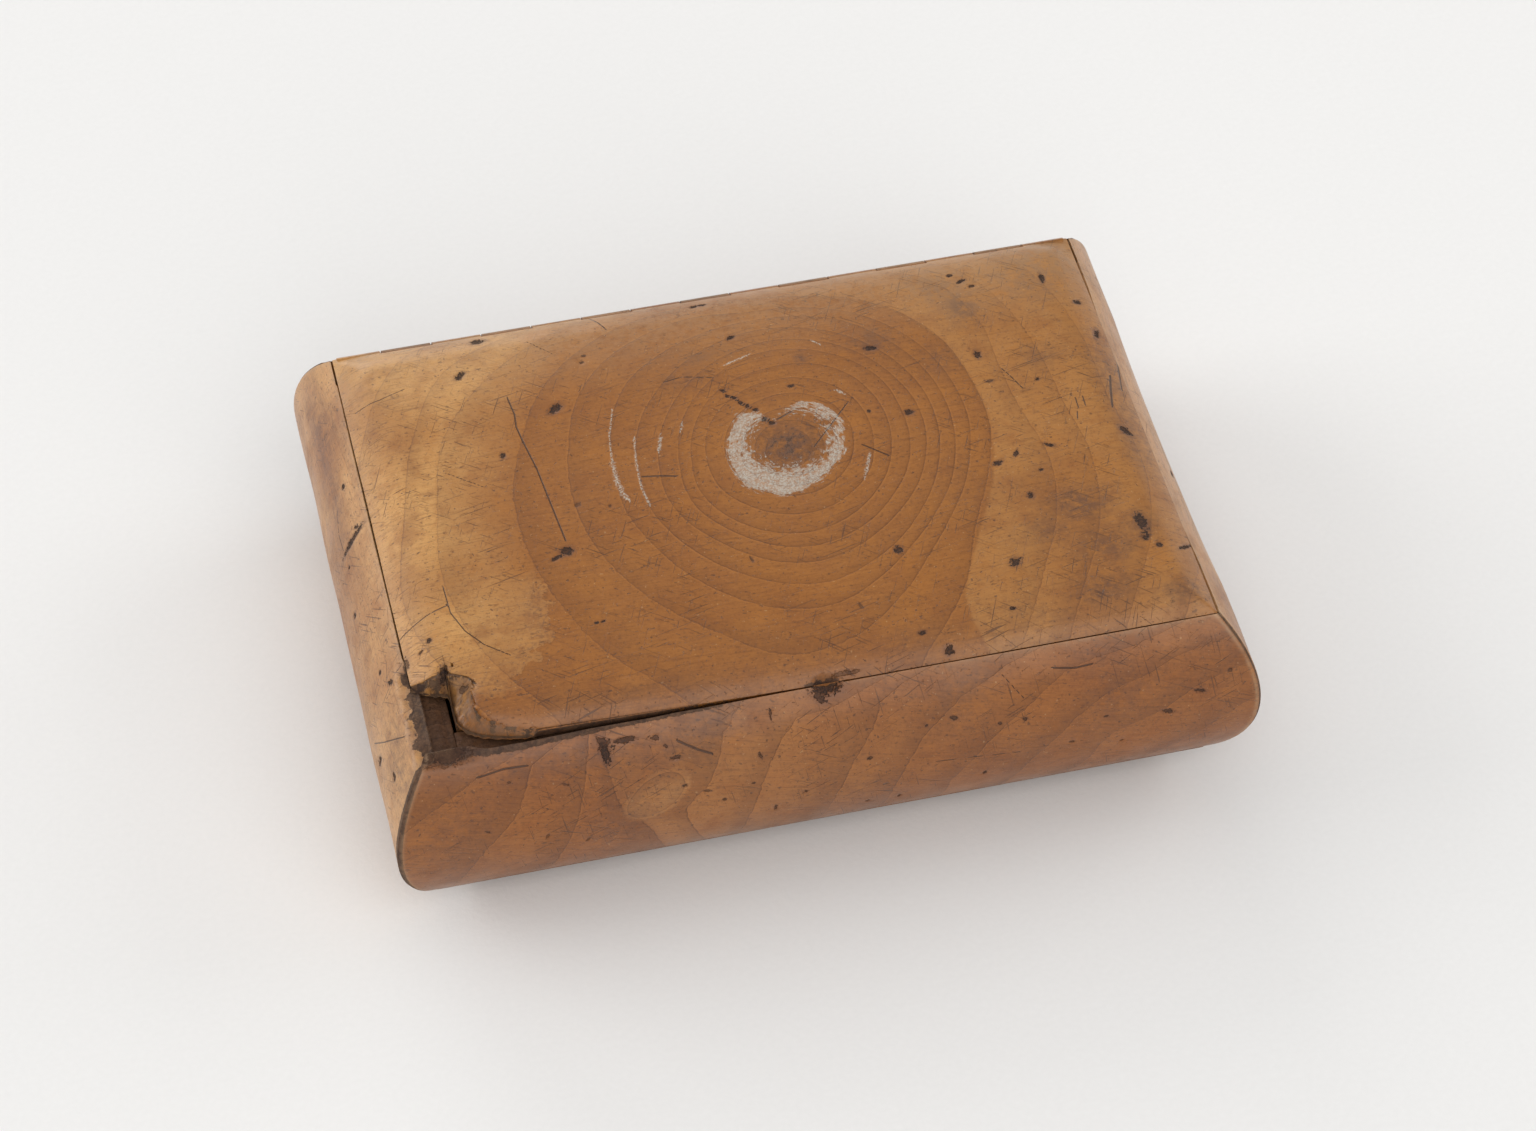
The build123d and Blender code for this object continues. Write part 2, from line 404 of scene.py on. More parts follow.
    # Relief, in shares of the bump's depth, and roughness
    bump_depth = 0.12
    height = f.plus(f.times(fibre, 0.10), f.times(planed, 0.08))
    height = f.minus(height, f.times(f.math("MAXIMUM", fleck, pore), 0.30))
    height = f.minus(height, f.times(line, 0.12))
    height = f.minus(height, f.times(scratch, 0.30))
    height = f.plus(height, f.times(crust, crumb, 0.35))
    rough = f.plus(f.times(f.step(cloud, 0.25, 0.80), 0.14), 0.30)
    rough = f.plus(rough, f.times(crust, 0.40))

    def within(attribute, torn):
        """Distance from the middle of the nearest mark, 1 at its rim, torn a little by noise, and
        whether a mark is near at all."""
        parts = f.tree.nodes.new("ShaderNodeSeparateXYZ")
        f.tree.links.new(f.attribute(attribute, "Vector"), parts.inputs[0])
        flat = f.add("CombineXYZ", {0: parts.outputs[0], 1: parts.outputs[1]})
        distance = f.add("VectorMath", {0: flat}, "Value", operation="LENGTH")
        ragged = f.plus(f.times(crumb, 0.7), f.times(smudge, 0.3))
        distance = f.plus(distance, f.times(f.minus(ragged, 0.5), torn))
        return distance, f.step(parts.outputs[2], 2.5, 1.9)

    if marks:
        distance, near = within("dent", 4.2)
        near = f.times(near, f.attribute("dent_show"))
        halo = f.times(f.step(distance, 2.3, 0.9), near)
        core = f.times(f.step(distance, 1.22, 0.80), near)
        patchy = f.plus(f.times(f.step(grit, 0.36, 0.56), 0.30), 0.66)
        colour = f.mix(f.times(halo, 0.50), colour, (0.095, 0.036, 0.020, 1))
        colour = f.mix(f.times(core, patchy), colour, (0.026, 0.012, 0.007, 1))
        height = f.minus(height, f.times(core, 2.2))
        rough = f.plus(rough, f.times(core, 0.45))
        distance, near = within("crack", 0.9)
        core = f.times(f.step(distance, 1.15, 0.35), near)
        colour = f.mix(f.times(core, 0.80), colour, (0.035, 0.015, 0.009, 1))
        height = f.minus(height, core)
    if chalk:
        drag = f.noise(f.stretch(f.attribute("round", "Vector"), 3.6, 0.42, 0.42), 1.0, 4.0, 0.75)
        field = f.plus(f.times(f.attribute("chalk"), 0.34), f.times(f.minus(smudge, 0.5), 1.5))
        field = f.plus(field, f.times(f.minus(drag, 0.5), 2.3))
        cover = f.step(field, 0.04, 0.36)
        distance, near = within("streak", 4.4)
        line_cover = f.times(f.step(distance, 1.1, 0.2), near, f.step(grit, 0.34, 0.60))
        cover = f.math("MAXIMUM", f.times(cover, 0.95), line_cover)
        cover = f.times(cover, f.plus(f.times(f.step(crumb, 0.36, 0.56), 0.34), 0.48))
        cover = f.times(cover, f.plus(f.times(f.step(grit, 0.42, 0.56), 0.46), 0.52))
        colour = f.mix(cover, colour, (0.50, 0.475, 0.41, 1))
        height = f.plus(height, f.times(cover, 0.25))
        rough = f.plus(rough, f.times(cover, 0.35))
    f.link("Base Color", colour)
    f.link("Roughness", rough)
    f.link("Normal", f.bump(height, bump_depth))
    f.set(gloss=gloss)
    return f.material


def log_rings(piece, pith, lean, spacing):
    """Rings of a log for a piece with no drawn rings: the distance of each point from a slightly
    leaning pith line, divided by the ring spacing."""
    spots = np.empty(len(piece.data.vertices) * 3)
    piece.data.vertices.foreach_get("co", spots)
    x, y, z = (spots.reshape(-1, 3) / MM).T
    return x, y, z, np.hypot(y - pith[0] - lean[0] * x, z - pith[1] - lean[1] * x) / spacing


def plain_paint(piece, ring, gap, grain, sap=-9.0, pale=0.0, rag=0.0, show=1.0,
                stain_and_shade=0.0, grime_and_shade=0.0, wear_and_sheen=0.0, face=None):
    """Write the whole set of wood attributes. A single number stands for every vertex."""
    count = len(piece.data.vertices)
    numbers = {"ring": ring, "ring_gap": gap, "ring_show": show, "sap": sap, "pale": pale,
               "rag": rag, "stain_and_shade": stain_and_shade, "grime_and_shade": grime_and_shade, "wear_and_sheen": wear_and_sheen}
    for name, value in numbers.items():
        paint(piece, name, np.broadcast_to(np.asarray(value, float), (count,)))
    paint_all(piece, grain=grain, face=grain if face is None else face)


bottom_rise = 3.4
across = spaced(-seam_half_width, seam_half_width, 1.0, 0.25, 6.0)
along = spaced(-seam_half_length, seam_half_length, 1.0, 0.25, 7.0)
x_grid, y_grid = np.meshgrid(along, across, indexing="ij")
end_rise = shoulder_height(np.abs(x_grid), seam_half_length, bottom_rise, 0)
side_rise = shoulder_height(np.abs(y_grid), seam_half_width, bottom_rise, 0)
under = lower_seam - np.clip(soft_min(end_rise, side_rise, 0.3) + 0.075, 0.04, bottom_rise)
under = np.maximum(under + 0.02 * waves(x_grid, y_grid, 25, 3) * (under > 0.2), 0)
edge_inset = np.minimum(seam_half_length - np.abs(x_grid), seam_half_width - np.abs(y_grid))
seat = lower_seam + seat_depth * np.clip(edge_inset / seam_bevel, 0.03, 1)
underside = coords(x_grid, y_grid, under)
topside = coords(x_grid, y_grid, seat)
loops = np.concatenate([topside, underside[:, ::-1]], axis=1)
bottom_board = loft("bottom_board_wood", loops)
x, y, z, ring = log_rings(bottom_board, (-18.0, -30.0), (0.05, 0.02), 2.4)
inside = (z > lower_seam + 0.5) & (np.abs(x) < 41.6) & (np.abs(y) < 27.2)
plain_paint(
    bottom_board, ring, 2.4, coords(x, y, z), show=0.8,
    grime_and_shade=np.where(inside, 0.24 + 0.12 * waves(x, y, 14, 7), 0.08), stain_and_shade=0.3 + 0.3 * waves(x, y, 30, 5),
    wear_and_sheen=np.clip(0.5 - z, 0, 0.3) * (0.5 + 0.5 * waves(x, y, 40, 6)),
)
bottom_wood = yew("bottom_yew", (0.29, 0.125, 0.045, 1), (0.42, 0.24, 0.10, 1), (0.11, 0.040, 0.014, 1))
fit(bottom_board, bottom_wood, "box", "bottom_wood", "bottom_board")

# Carcass walls. Four thin planks glued in a ring on the bottom board, the side walls running
# the full depth and the front and back wall butted between them. Bare wood, dark with snuff.
wall_thickness = 3.3
floor_height = lower_seam + seat_depth
seat_height = upper_seam - seat_depth
hinge_y = 29.372
hinge_z = 25.7203
barrel_radius = 2.2
bearing_radius = 2.35
carcass_half_length = seam_half_length - seam_bevel
carcass_half_width = seam_half_width - seam_bevel
mouth_half_length = carcass_half_length - wall_thickness
mouth_half_width = carcass_half_width - wall_thickness


def rounding(gap, radius):
    """How far a face draws in at a distance from its end: a quarter circle of the radius."""
    short = np.clip(radius - gap, 0, radius)
    return radius - np.sqrt(radius**2 - short**2)


def plank(half_length, low, high, top=None):
    """Plank along X with worn arrises: a rectangle with rounded corners, low and high being its
    corners in Y and Z, carried from end to end. Top gives each station's own upper height."""
    arris = 0.12
    places = spaced(-half_length, half_length, 0.6, arris / 4, 2.0)
    inset = rounding(half_length - np.abs(places), arris * 0.9)
    (y0, z0), (y1, z1) = low, high
    rise = np.linspace(0, 1, 26)[1:-1]
    cross = np.linspace(0, 1, 9)[1:-1]
    left = coords(y0, z0 + arris + rise * (z1 - z0 - 2 * arris))
    crown = coords(y0 + arris + cross * (y1 - y0 - 2 * arris), z1)
    sides = [left, crown, left[::-1] + [y1 - y0, 0], crown[::-1] + [0, z0 - z1]]
    turns = [(y0 + arris, z1 - arris, 180), (y1 - arris, z1 - arris, 90),
             (y1 - arris, z0 + arris, 0), (y0 + arris, z0 + arris, -90)]
    outline = []
    for side, (middle_y, middle_z, start) in zip(sides, turns):
        angle = np.radians(start - np.linspace(0, 90, 4))
        turn = coords(middle_y + arris * np.cos(angle), middle_z + arris * np.sin(angle))
        outline += [side, turn]
    middle = np.array([(y0 + y1) / 2, (z0 + z1) / 2])
    half = np.array([(y1 - y0) / 2, (z1 - z0) / 2])
    shrink = 1 - inset[:, None, None] / half
    section = middle + (np.concatenate(outline) - middle) * shrink
    if top is not None:
        ceiling = top(places[:, None], section[:, :, 0])
        share = unit((section[:, :, 1] - (z1 - 4)) / 4)
        section[:, :, 1] -= np.maximum(z1 - ceiling, 0) * share
    return coords(places[:, None], section[:, :, 0], section[:, :, 1])


def quarter_turn(points, turns):
    """Turn points about the vertical by a number of right angles, anticlockwise from above."""
    x, y, z = np.moveaxis(points, -1, 0)
    for _ in range(turns % 4):
        x, y = -y, x
    return coords(x, y, z)


def hinge_hollow(along_wall, across_wall):
    """Height of a side wall's top: level, and hollowed to the bearing radius round the hinge."""
    gap = np.clip(bearing_radius**2 - (along_wall - hinge_y) ** 2, 0, None)
    hollow = np.where(gap > 0, hinge_z - np.sqrt(gap), seat_height)
    step_down = np.where(across_wall < 0.9, 0.22, 0.0)
    return np.minimum(hollow, seat_height - step_down)


def make_wall(node, loops, seed):
    """Wall of bare carcass wood: fibres run along the plank, and dirt gathers low down and in
    patches. Only the barrels are clean."""
    piece = loft(node + "_wood", loops)
    x, y, z, ring = log_rings(piece, (seed * 3.0, -24.0), (0.03, 0.01), 1.6)
    dirt = 0.55 + 0.3 * waves(x + y, z, 16, seed) + 0.35 * unit((9 - z) / 5)
    lengthwise = np.ptp(x) > np.ptp(y)
    grain = coords(x, z * 1.2, y) if lengthwise else coords(y, z * 1.2, x)
    barrel = unit((z - seat_height) * 3)
    plain_paint(
        piece, ring, 1.6, grain, show=0.7 - 0.4 * barrel, sap=barrel * 4 - 2, pale=0.85,
        grime_and_shade=np.clip(dirt, 0, 0.9) * (1 - barrel), stain_and_shade=0.5 * (1 - barrel),
    )
    fit(piece, carcass_wood, "box", "carcass_wood", node)


carcass_wood = yew(
    "carcass_yew", (0.120, 0.058, 0.028, 1), (0.42, 0.22, 0.09, 1), (0.028, 0.015, 0.009, 1),
    flecks=0.5, contrast=1.9, gloss=0.15,
)
front_loops = plank(
    mouth_half_length, (-carcass_half_width, floor_height), (-mouth_half_width, seat_height),
)
make_wall("wall_front", front_loops, 11)

side_loops = plank(
    carcass_half_width, (0, floor_height), (wall_thickness, seat_height), hinge_hollow,
)
left_loops = quarter_turn(side_loops, 1)
left_loops[:, :, 0] -= mouth_half_length
make_wall("wall_left", left_loops, 12)
right_loops = quarter_turn(side_loops[:, ::-1] * [1, -1, 1], 1)
right_loops[:, :, 0] += mouth_half_length
make_wall("wall_right", right_loops, 13)

# Back wall. Its upper edge is worked into every second knuckle of the wooden hinge: seven round
# barrels, with hollows between them in which the lid's own knuckles turn.
knuckle_count = 15
knuckle_pitch = 2 * seam_half_length / knuckle_count
knuckle_gap = 0.2
pin_hole = 0.55
first_knuckle = knuckle_pitch / 2 - seam_half_length
wall_knuckles = first_knuckle + knuckle_pitch * np.arange(1, knuckle_count, 2)
knuckle_half = (knuckle_pitch - knuckle_gap) / 2
notch_half = (knuckle_pitch + knuckle_gap) / 2


def with_breaks(places, breaks, width=0.006):
    """Add two stations close together at each break, where the section changes at once, and drop
    the stations that would crowd them."""
    breaks = np.asarray(breaks)
    nearest = np.abs(places[:, None] - breaks[None, :]).min(axis=1)
    pairs = np.concatenate([breaks - width, breaks + width])
    return np.sort(np.concatenate([places[nearest > 5 * width], pairs]))


def hinge_arc(radius, start, end, count):
    """Arc round the hinge line in Y and Z, between two angles in degrees."""
    angle = np.radians(np.linspace(start, end, count))
    return coords(hinge_y + radius * np.cos(angle), hinge_z + radius * np.sin(angle))


def back_section(is_knuckle, count):
    """Back wall's outline in Y and Z: up the outer face, round the barrel or along the hollow,
    down the inner face and back under."""
    radius = barrel_radius if is_knuckle else bearing_radius
    outer = carcass_half_width - hinge_y
    inner = hinge_y - mouth_half_width
    start = math.degrees(math.asin(-math.sqrt(radius**2 - outer**2) / radius))
    if is_knuckle:
        end = 178
    else:
        end = math.degrees(math.asin(math.sqrt(radius**2 - inner**2) / radius)) - 180
    arc = hinge_arc(radius, start, end, count)
    rise = np.linspace(floor_height, arc[0, 1], 20)[:-1]
    fall = np.linspace(min(arc[-1, 1], seat_height), floor_height, 20)
    return np.concatenate([coords(carcass_half_width, rise), arc, coords(mouth_half_width, fall)])


changes = np.sort(np.concatenate([wall_knuckles - knuckle_half, wall_knuckles + knuckle_half]))
places = with_breaks(spaced(-mouth_half_length, mouth_half_length, 0.7, 0.2, 1.5), changes)
knuckle_outline = back_section(True, 28)
hollow_outline = back_section(False, 28)
on_knuckle = np.abs(places[:, None] - wall_knuckles[None, :]).min(axis=1) < knuckle_half
outline = np.where(on_knuckle[:, None, None], knuckle_outline[None], hollow_outline[None])
# Seen from the right the outline runs anticlockwise, so the stations run from right to left
back_loops = coords(places[:, None], outline[:, :, 0], outline[:, :, 1])[::-1]
make_wall("wall_back", back_loops, 14)

# Hinge pin. Drawn brass wire driven through all fifteen knuckles, dull where it shows.
brass = Finish("dull_brass_wire")
drawn = brass.noise(brass.stretch(brass.place, 0.2, 12.0, 12.0), 1.0, 3.0)
tarnish = brass.step(brass.noise(brass.place, 0.6, 4.0), 0.35, 0.7)
brass.link("Base Color", brass.mix(tarnish, (0.56, 0.40, 0.16, 1), (0.20, 0.12, 0.05, 1)))
brass.link("Roughness", brass.step(tarnish, -0.8, 1.4))
brass.link("Normal", brass.bump(drawn, 0.01))
brass.set(metal=1.0)
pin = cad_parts["hinge_pin"]
pin.data.materials.clear()
pin.data.materials.append(brass.material)

# Side rails. Four strips with a bulging face, mitred at the corners and glued round the carcass,
# cut from flat-sawn yew so that the rings cross the face in long slanting arcs.
arris_radius = 0.22
mitre_gap = 0.27
rail_dent_depth = 0.16
trough_radius = 3.0
trough_reach = 45.38
trough_out = hinge_y - seam_half_width
trough_foot = hinge_z - math.sqrt(trough_radius**2 - (seam_bevel + trough_out) ** 2)


def rail_outline(hollowed):
    """Outline of a rail, how far out and how high: a circular arc from seam to seam, then down the
    flat back. The back rail's arc ends where it meets the circle round the hinge, and follows it."""
    crest_angle = 0.995 * math.asin(seam_up)
    meeting = math.radians(35.2)
    below = np.linspace(-crest_angle, meeting, 76)
    above = np.linspace(meeting, crest_angle, 10)[1:]
    angle = np.concatenate([below, above])
    out = rail_radius * np.cos(angle) - (rail_radius - rail_bulge)
    height = (upper_seam + lower_seam) / 2 + rail_radius * np.sin(angle)
    inner_height = np.concatenate([
        [upper_seam - 0.16], np.linspace(seat_height, trough_foot, 4),
        np.linspace(trough_foot, floor_height, 9)[1:], [lower_seam + 0.16],
    ])
    inner_out = np.full(inner_height.size, -seam_bevel)
    inner_out[[0, -1]] = -0.10
    outline = coords(np.concatenate([out, inner_out]), np.concatenate([height, inner_height]))
    if hollowed:
        trough = hinge_arc(trough_radius, -4.2, -69.95, 15)[1:]
        outline[below.size:below.size + len(trough)] = trough - [seam_half_width, 0]
    return outline


def rail_loops(half_seam, step, hollowed):
    """Rail in the front rail's place, facing -Y: its outline carried along X. Each station is
    stretched so that the ends lie on the mitre planes."""
    places = spaced(-1, 1, step / half_seam, 0.05 / half_seam, 2.5 / half_seam)
    out, height = rail_outline(hollowed).T
    inset = rounding((1 - np.abs(places)) * half_seam, arris_radius)
    face = unit((out + 0.1) / 0.4)
    drawn_in = out[None, :] - inset[:, None] * face[None, :]
    x_all = places[:, None] * (half_seam + out[None, :] - mitre_gap)
    y_all = -seam_half_width - drawn_in
    return coords(x_all, y_all, height[None, :])


def path_place(x, y, path):
    """Where points lie beside an open path: signed distance, positive on its left, and plain
    distance to its nearest segment."""
    best = np.full(np.shape(x), 1e9)
    signed = np.full(np.shape(x), 1e9)
    for (x0, y0), (x1, y1) in zip(path[:-1], path[1:]):
        run_x, run_y = x1 - x0, y1 - y0
        length = math.hypot(run_x, run_y)
        share = unit(((x - x0) * run_x + (y - y0) * run_y) / length**2)
        distance = np.hypot(x - x0 - share * run_x, y - y0 - share * run_y)
        side = (run_x * (y - y0) - run_y * (x - x0)) / length
        nearer = distance < best
        signed = np.where(nearer, np.where(side >= 0, distance, -distance), signed)
        best = np.where(nearer, distance, best)
    return signed, best


def mark_places(x, y, marks):
    """For oval dents given as (x, y, length, width, turn in degrees) and, where faint, a strength:
    each point's place in its nearest dent, scaled so that the dent's rim is at 1, with the plain
    distance third, and apart from it the dent's strength."""
    best = np.full(x.shape, FAR)
    shown = np.zeros(x.shape)
    across_best = np.zeros(x.shape)
    along_best = np.full(x.shape, FAR)
    for centre_x, centre_y, length, width, turned, *faint in marks:
        angle = math.radians(turned)
        dx, dy = x - centre_x, y - centre_y
        along_mark = (dx * math.cos(angle) + dy * math.sin(angle)) / (length / 2)
        across_mark = (dy * math.cos(angle) - dx * math.sin(angle)) / (width / 2)
        distance = np.hypot(along_mark, across_mark)
        nearer = distance < best
        along_best = np.where(nearer, along_mark, along_best)
        across_best = np.where(nearer, across_mark, across_best)
        best = np.where(nearer, distance, best)
        shown = np.where(nearer, faint[0] if faint else 1.0, shown)
    return coords(along_best, across_best, best), shown


def line_places(x, y, lines):
    """For cracks given as (width, path): signed distance to the nearest one over half its width,
    and the plain distance the same way third."""
    best = np.full(x.shape, FAR)
    side_best = np.full(x.shape, FAR)
    for width, path in lines:
        signed, distance = path_place(x, y, path)
        nearer = distance / (width / 2) < best
        side_best = np.where(nearer, signed / (width / 2), side_best)
        best = np.where(nearer, distance / (width / 2), best)
    return coords(side_best, 0.0, best)


def sink(marks_found, depth):
    """How deep each point of the surface is pressed in by the dents: a round-bottomed hollow."""
    return depth * unit(1.25 - marks_found[:, 2] ** 2)


def ring_count(place, lines, plain_gap):
    """Ring number of each place among its own row of ring lines: whole on a line and shared out
    evenly between two, with the local ring width, which is the plain gap outside all lines."""
    width = lines[1:] - lines[:-1]
    passed = unit((place - lines[:-1]) / width)
    inside = (passed > 0) & (passed < 1)
    gap = np.where(inside.any(axis=0), (width * inside).sum(axis=0), plain_gap)
    return passed.sum(axis=0), gap


def beside_line(depth, line):
    """Where a ring line given as a list of (depth, x) lies at each depth."""
    depths, places = np.array(line).T
    return np.interp(depth, depths, places)


front_rings = [
    [(0, -70), (24, -98)],
    [(0, -32), (3, -40.5), (4.8, -44), (7, -48), (12, -54), (24, -66)],
    [(0, -29), (2.5, -34), (5, -35), (7.5, -36), (10, -38), (12.5, -40), (15.5, -41.5), (24, -45)],
    [(0, -27), (5, -28.2), (10, -29.5), (15, -31), (24, -34)],
    [(0, -25.4), (4, -25.8), (8, -25), (10, -24.4), (12, -22.5), (14.5, -21), (18, -20), (24, -18.5)],
    [(0, -9.8), (0.7, -10.5), (1.2, -11), (3, -12.5), (5, -13), (8, -14.3), (9, -15), (9.9, -16),
     (11.5, -17.2), (13, -17.2), (15, -16.6), (18, -15.6), (24, -13.5)],
    [(0, 8), (1, 4), (2.2, 0), (2.5, -4), (4.5, -6), (7, -7.5), (10, -8.5), (12, -9), (15, -9.8),
     (20, -10.6), (24, -11)],
    [(0, 12), (1, 8.5), (1.7, 7), (2.5, 5.5), (4, 5), (6, 4), (9, 2), (12.5, 0.8), (14, 0.2), (24, -2)],
    [(0, 25), (1.2, 20), (2.2, 18), (3.3, 15), (5.5, 12), (7.5, 10), (11, 8.2), (14.5, 7), (17, 6.5),
     (24, 5.4)],
    [(0, 42), (1.5, 35), (2, 30), (2.7, 27), (4.3, 24.5), (6.2, 22), (8, 19.5), (10, 17.5), (13.5, 15),
     (16, 13.6), (19, 13.3), (24, 12.6)],
    [(0, 56), (2.5, 45), (3.2, 40), (4.5, 37), (5.5, 33), (6.3, 31), (8.5, 28), (12, 25), (14.5, 23),
     (19, 21), (24, 19.5)],
    [(0, 66), (5.5, 48), (6.2, 45), (7.2, 42), (8.5, 40), (9.8, 38), (11, 35), (12, 32.5), (14, 31),
     (17, 30), (20, 28.5), (24, 27)],
    [(0, 80), (11, 48), (12.5, 46), (15, 43), (17.5, 40), (20, 37), (24, 33)],
    [(0, 110), (24, 60)],
]
front_dents = [
    (-25.7, 2.6, 2.0, 0.9, 75), (-25.9, 1.4, 1.0, 0.6, 20, 0.7), (-23.4, 1.7, 2.2, 0.45, 0, 0.8),
    (-20.0, 2.0, 0.8, 0.4, 0, 0.6), (-18.9, 3.0, 0.5, 0.3, 40, 0.6), (-18.0, 4.4, 1.2, 0.4, 0, 0.7),
    (-17.3, 8.0, 0.5, 0.35, 0, 0.8), (-8.5, 6.0, 0.7, 0.4, 60, 0.7), (-6.9, 1.7, 0.25, 0.9, 0, 0.7),
    (-6.9, 14.8, 0.3, 1.0, 0, 0.7), (-3.5, 12.5, 0.45, 0.3, 0, 0.6), (-36.7, 3.8, 0.4, 0.25, 0, 0.5),
    (-12.9, 11.3, 0.4, 0.3, 0, 0.7), (-9.5, 9.5, 0.35, 0.3, 0, 0.7), (10.5, 6.0, 0.35, 0.3, 0, 0.8),
    (13.7, 5.7, 0.8, 0.45, 30, 0.8), (3.9, 9.0, 0.6, 0.35, 0, 0.8), (22.0, 7.5, 0.5, 0.4, 0, 0.8),
    (19.0, 7.5, 0.35, 0.3, 0, 0.7), (31.4, 9.2, 0.45, 0.3, 0, 0.7), (38.7, 10.2, 1.2, 0.5, 20, 0.8),
    (42.5, 8.0, 1.2, 0.4, 20, 0.8), (7.7, 17.7, 0.35, 0.6, 0, 0.7), (4.0, 17.4, 0.6, 0.35, 0, 0.7),
    (17.5, 15.6, 0.4, 0.6, 0, 0.8), (-43.0, 0.5, 4.4, 1.2, 0, 0.45), (-30.5, 5.2, 0.7, 0.25, 30, 0.5),
    (-0.3, 0.3, 2.8, 1.3, 0), (-1.3, 1.1, 1.2, 0.6, 50, 0.8), (46.0, 6.0, 0.5, 0.4, 0, 0.6),
    (-33.0, 12.0, 0.3, 0.8, 20, 0.5), (-28.4, 14.0, 0.3, 0.9, 30, 0.5), (-14.8, 9.4, 0.9, 0.25, 10, 0.6),
    (-39.6, 9.5, 0.7, 0.25, 40, 0.5), (27.5, 12.5, 0.6, 0.3, 20, 0.6), (33.5, 14.0, 0.4, 0.3, 0, 0.6),
]
front_cracks = [
    (0.22, [(-40, 2.7), (-37, 2.3), (-34.5, 2.4)]),
    (0.30, [(-17.5, 2.7), (-15.5, 3.9), (-14.0, 4.6)]),
    (0.12, [(10, 11.3), (16, 11.8), (21.5, 12.5)]),
    (0.12, [(19.7, 2.0), (22.0, 5.0)]),
    (0.20, [(25.5, 2.2), (28, 2.6), (30, 2.5)]),
]


def make_rail(node, half_seam, turns, dents, cracks, shape, crest=None, step=0.34):
    """Build a rail facing the front, press its dents in, wear down its crest, and turn it to its
    side. The end rails give way to the lid's edge where they come within reach of the hinge."""
    loops = rail_loops(half_seam, step, turns == 2)
    flat = loops.reshape(-1, 3)
    x, depth = flat[:, 0].copy(), upper_seam - flat[:, 2]
    outer = flat[:, 1] < -seam_half_width + 0.3
    dent, dent_show = mark_places(x, depth, dents)
    crack = line_places(x, depth, cracks)
    flat[:, 1] += np.where(outer, sink(dent, rail_dent_depth) + shape(x, depth), 0)
    if crest is not None:
        flat[:, 2] -= crest(x, depth)
    dent[~outer] = FAR
    crack[~outer] = FAR
    turned = quarter_turn(loops, turns)
    if turns % 2:
        side = 1 if turns == 1 else -1
        turned[:, :, 0] += side * (seam_half_length - seam_half_width)
        swept = np.hypot(turned[:, :, 1] - hinge_y, turned[:, :, 2] - hinge_z) < trough_radius
        given_way = side * np.maximum(side * turned[:, :, 0], trough_reach)
        turned[:, :, 0] = np.where(swept, given_way, turned[:, :, 0])
    piece = loft(node + "_wood", turned)
    fit(piece, rail_wood, "box", "rail_wood", node)
    paint_all(piece, dent=dent, dent_show=dent_show, crack=crack)
    return piece, x, depth, outer


def rail_grain(along, across, outer):
    """Place in the fibres on a rail's face, and well away from it on the rail's other sides."""
    return coords(along, across, np.where(outer, 0.0, 5.0))


def from_mitre(x, depth, half_seam):
    """Distance along a rail from its nearer mitre."""
    bulge = np.sqrt(np.clip(rail_radius**2 - (depth - rail_half_height) ** 2, 0, None))
    return np.clip(half_seam + bulge - (rail_radius - rail_bulge) - mitre_gap - np.abs(x), 0, None)


def along_crest(depth, width=0.35):
    """Narrow strip along a rail's crest, fading from 1 at the seam."""
    return np.exp(-np.clip(depth, 0, None) / width)


def worn_edges(x, depth, half_seam, outer):
    """Rubbing along a rail's arrises: strongest beside the mitres and along the crest."""
    near_end = np.exp(-(((from_mitre(x, depth, half_seam) - 0.35) / 0.25) ** 2))
    return np.where(outer, unit(near_end * 0.5 + along_crest(depth) * 0.5), 0)


def mitre_dirt(x, depth, half_seam):
    """Dirt in the mitres: all over the cut ends, and thinning out beside them."""
    gap = from_mitre(x, depth, half_seam)
    return np.where(gap < 0.07, 1.0, 0.30 * np.exp(-gap / 0.5))


def open_mitre(x, depth, half_seam, least, belly, blur):
    """Painted shade of a mitre that stands open: a dark crescent on the face beside the cut, whose width is
    the least at the seams and grows by the belly towards half height, and whose edge is blurred."""
    swell = np.sqrt(np.sin(np.pi * unit(depth / (2 * rail_half_height))))
    reach = least + belly * swell
    return unit((reach - from_mitre(x, depth, half_seam)) / blur + 0.5)


rail_wood = yew(
    "rail_yew", (0.283, 0.098, 0.019, 1), (0.58, 0.315, 0.120, 1), (0.098, 0.030, 0.007, 1),
    marks=True, flecks=1.05, contrast=1.15,
)


def front_shape(x, depth):
    """Hand-worked unevenness of the front rail, its broken crest at the left and the pry notch."""
    broken = 0.7 * unit(1.3 - depth) * unit((-38.5 - x) / 2)
    notch = 0.9 * unit(1 - np.hypot(x / 1.7, depth / 1.0) ** 2)
    return 0.06 * waves(x, depth * 2, 22, 21) + 0.10 + broken + notch


def front_crest(x, depth):
    """How far the front rail's crest is worn down: from the pry notch to the left corner."""
    gape = unit((-3.0 - x) / 30)
    uneven = 0.8 + 0.3 * waves(x, 0 * x, 5.0, 22)
    return 0.42 * gape * uneven * unit((1.5 - depth) / 1.2)


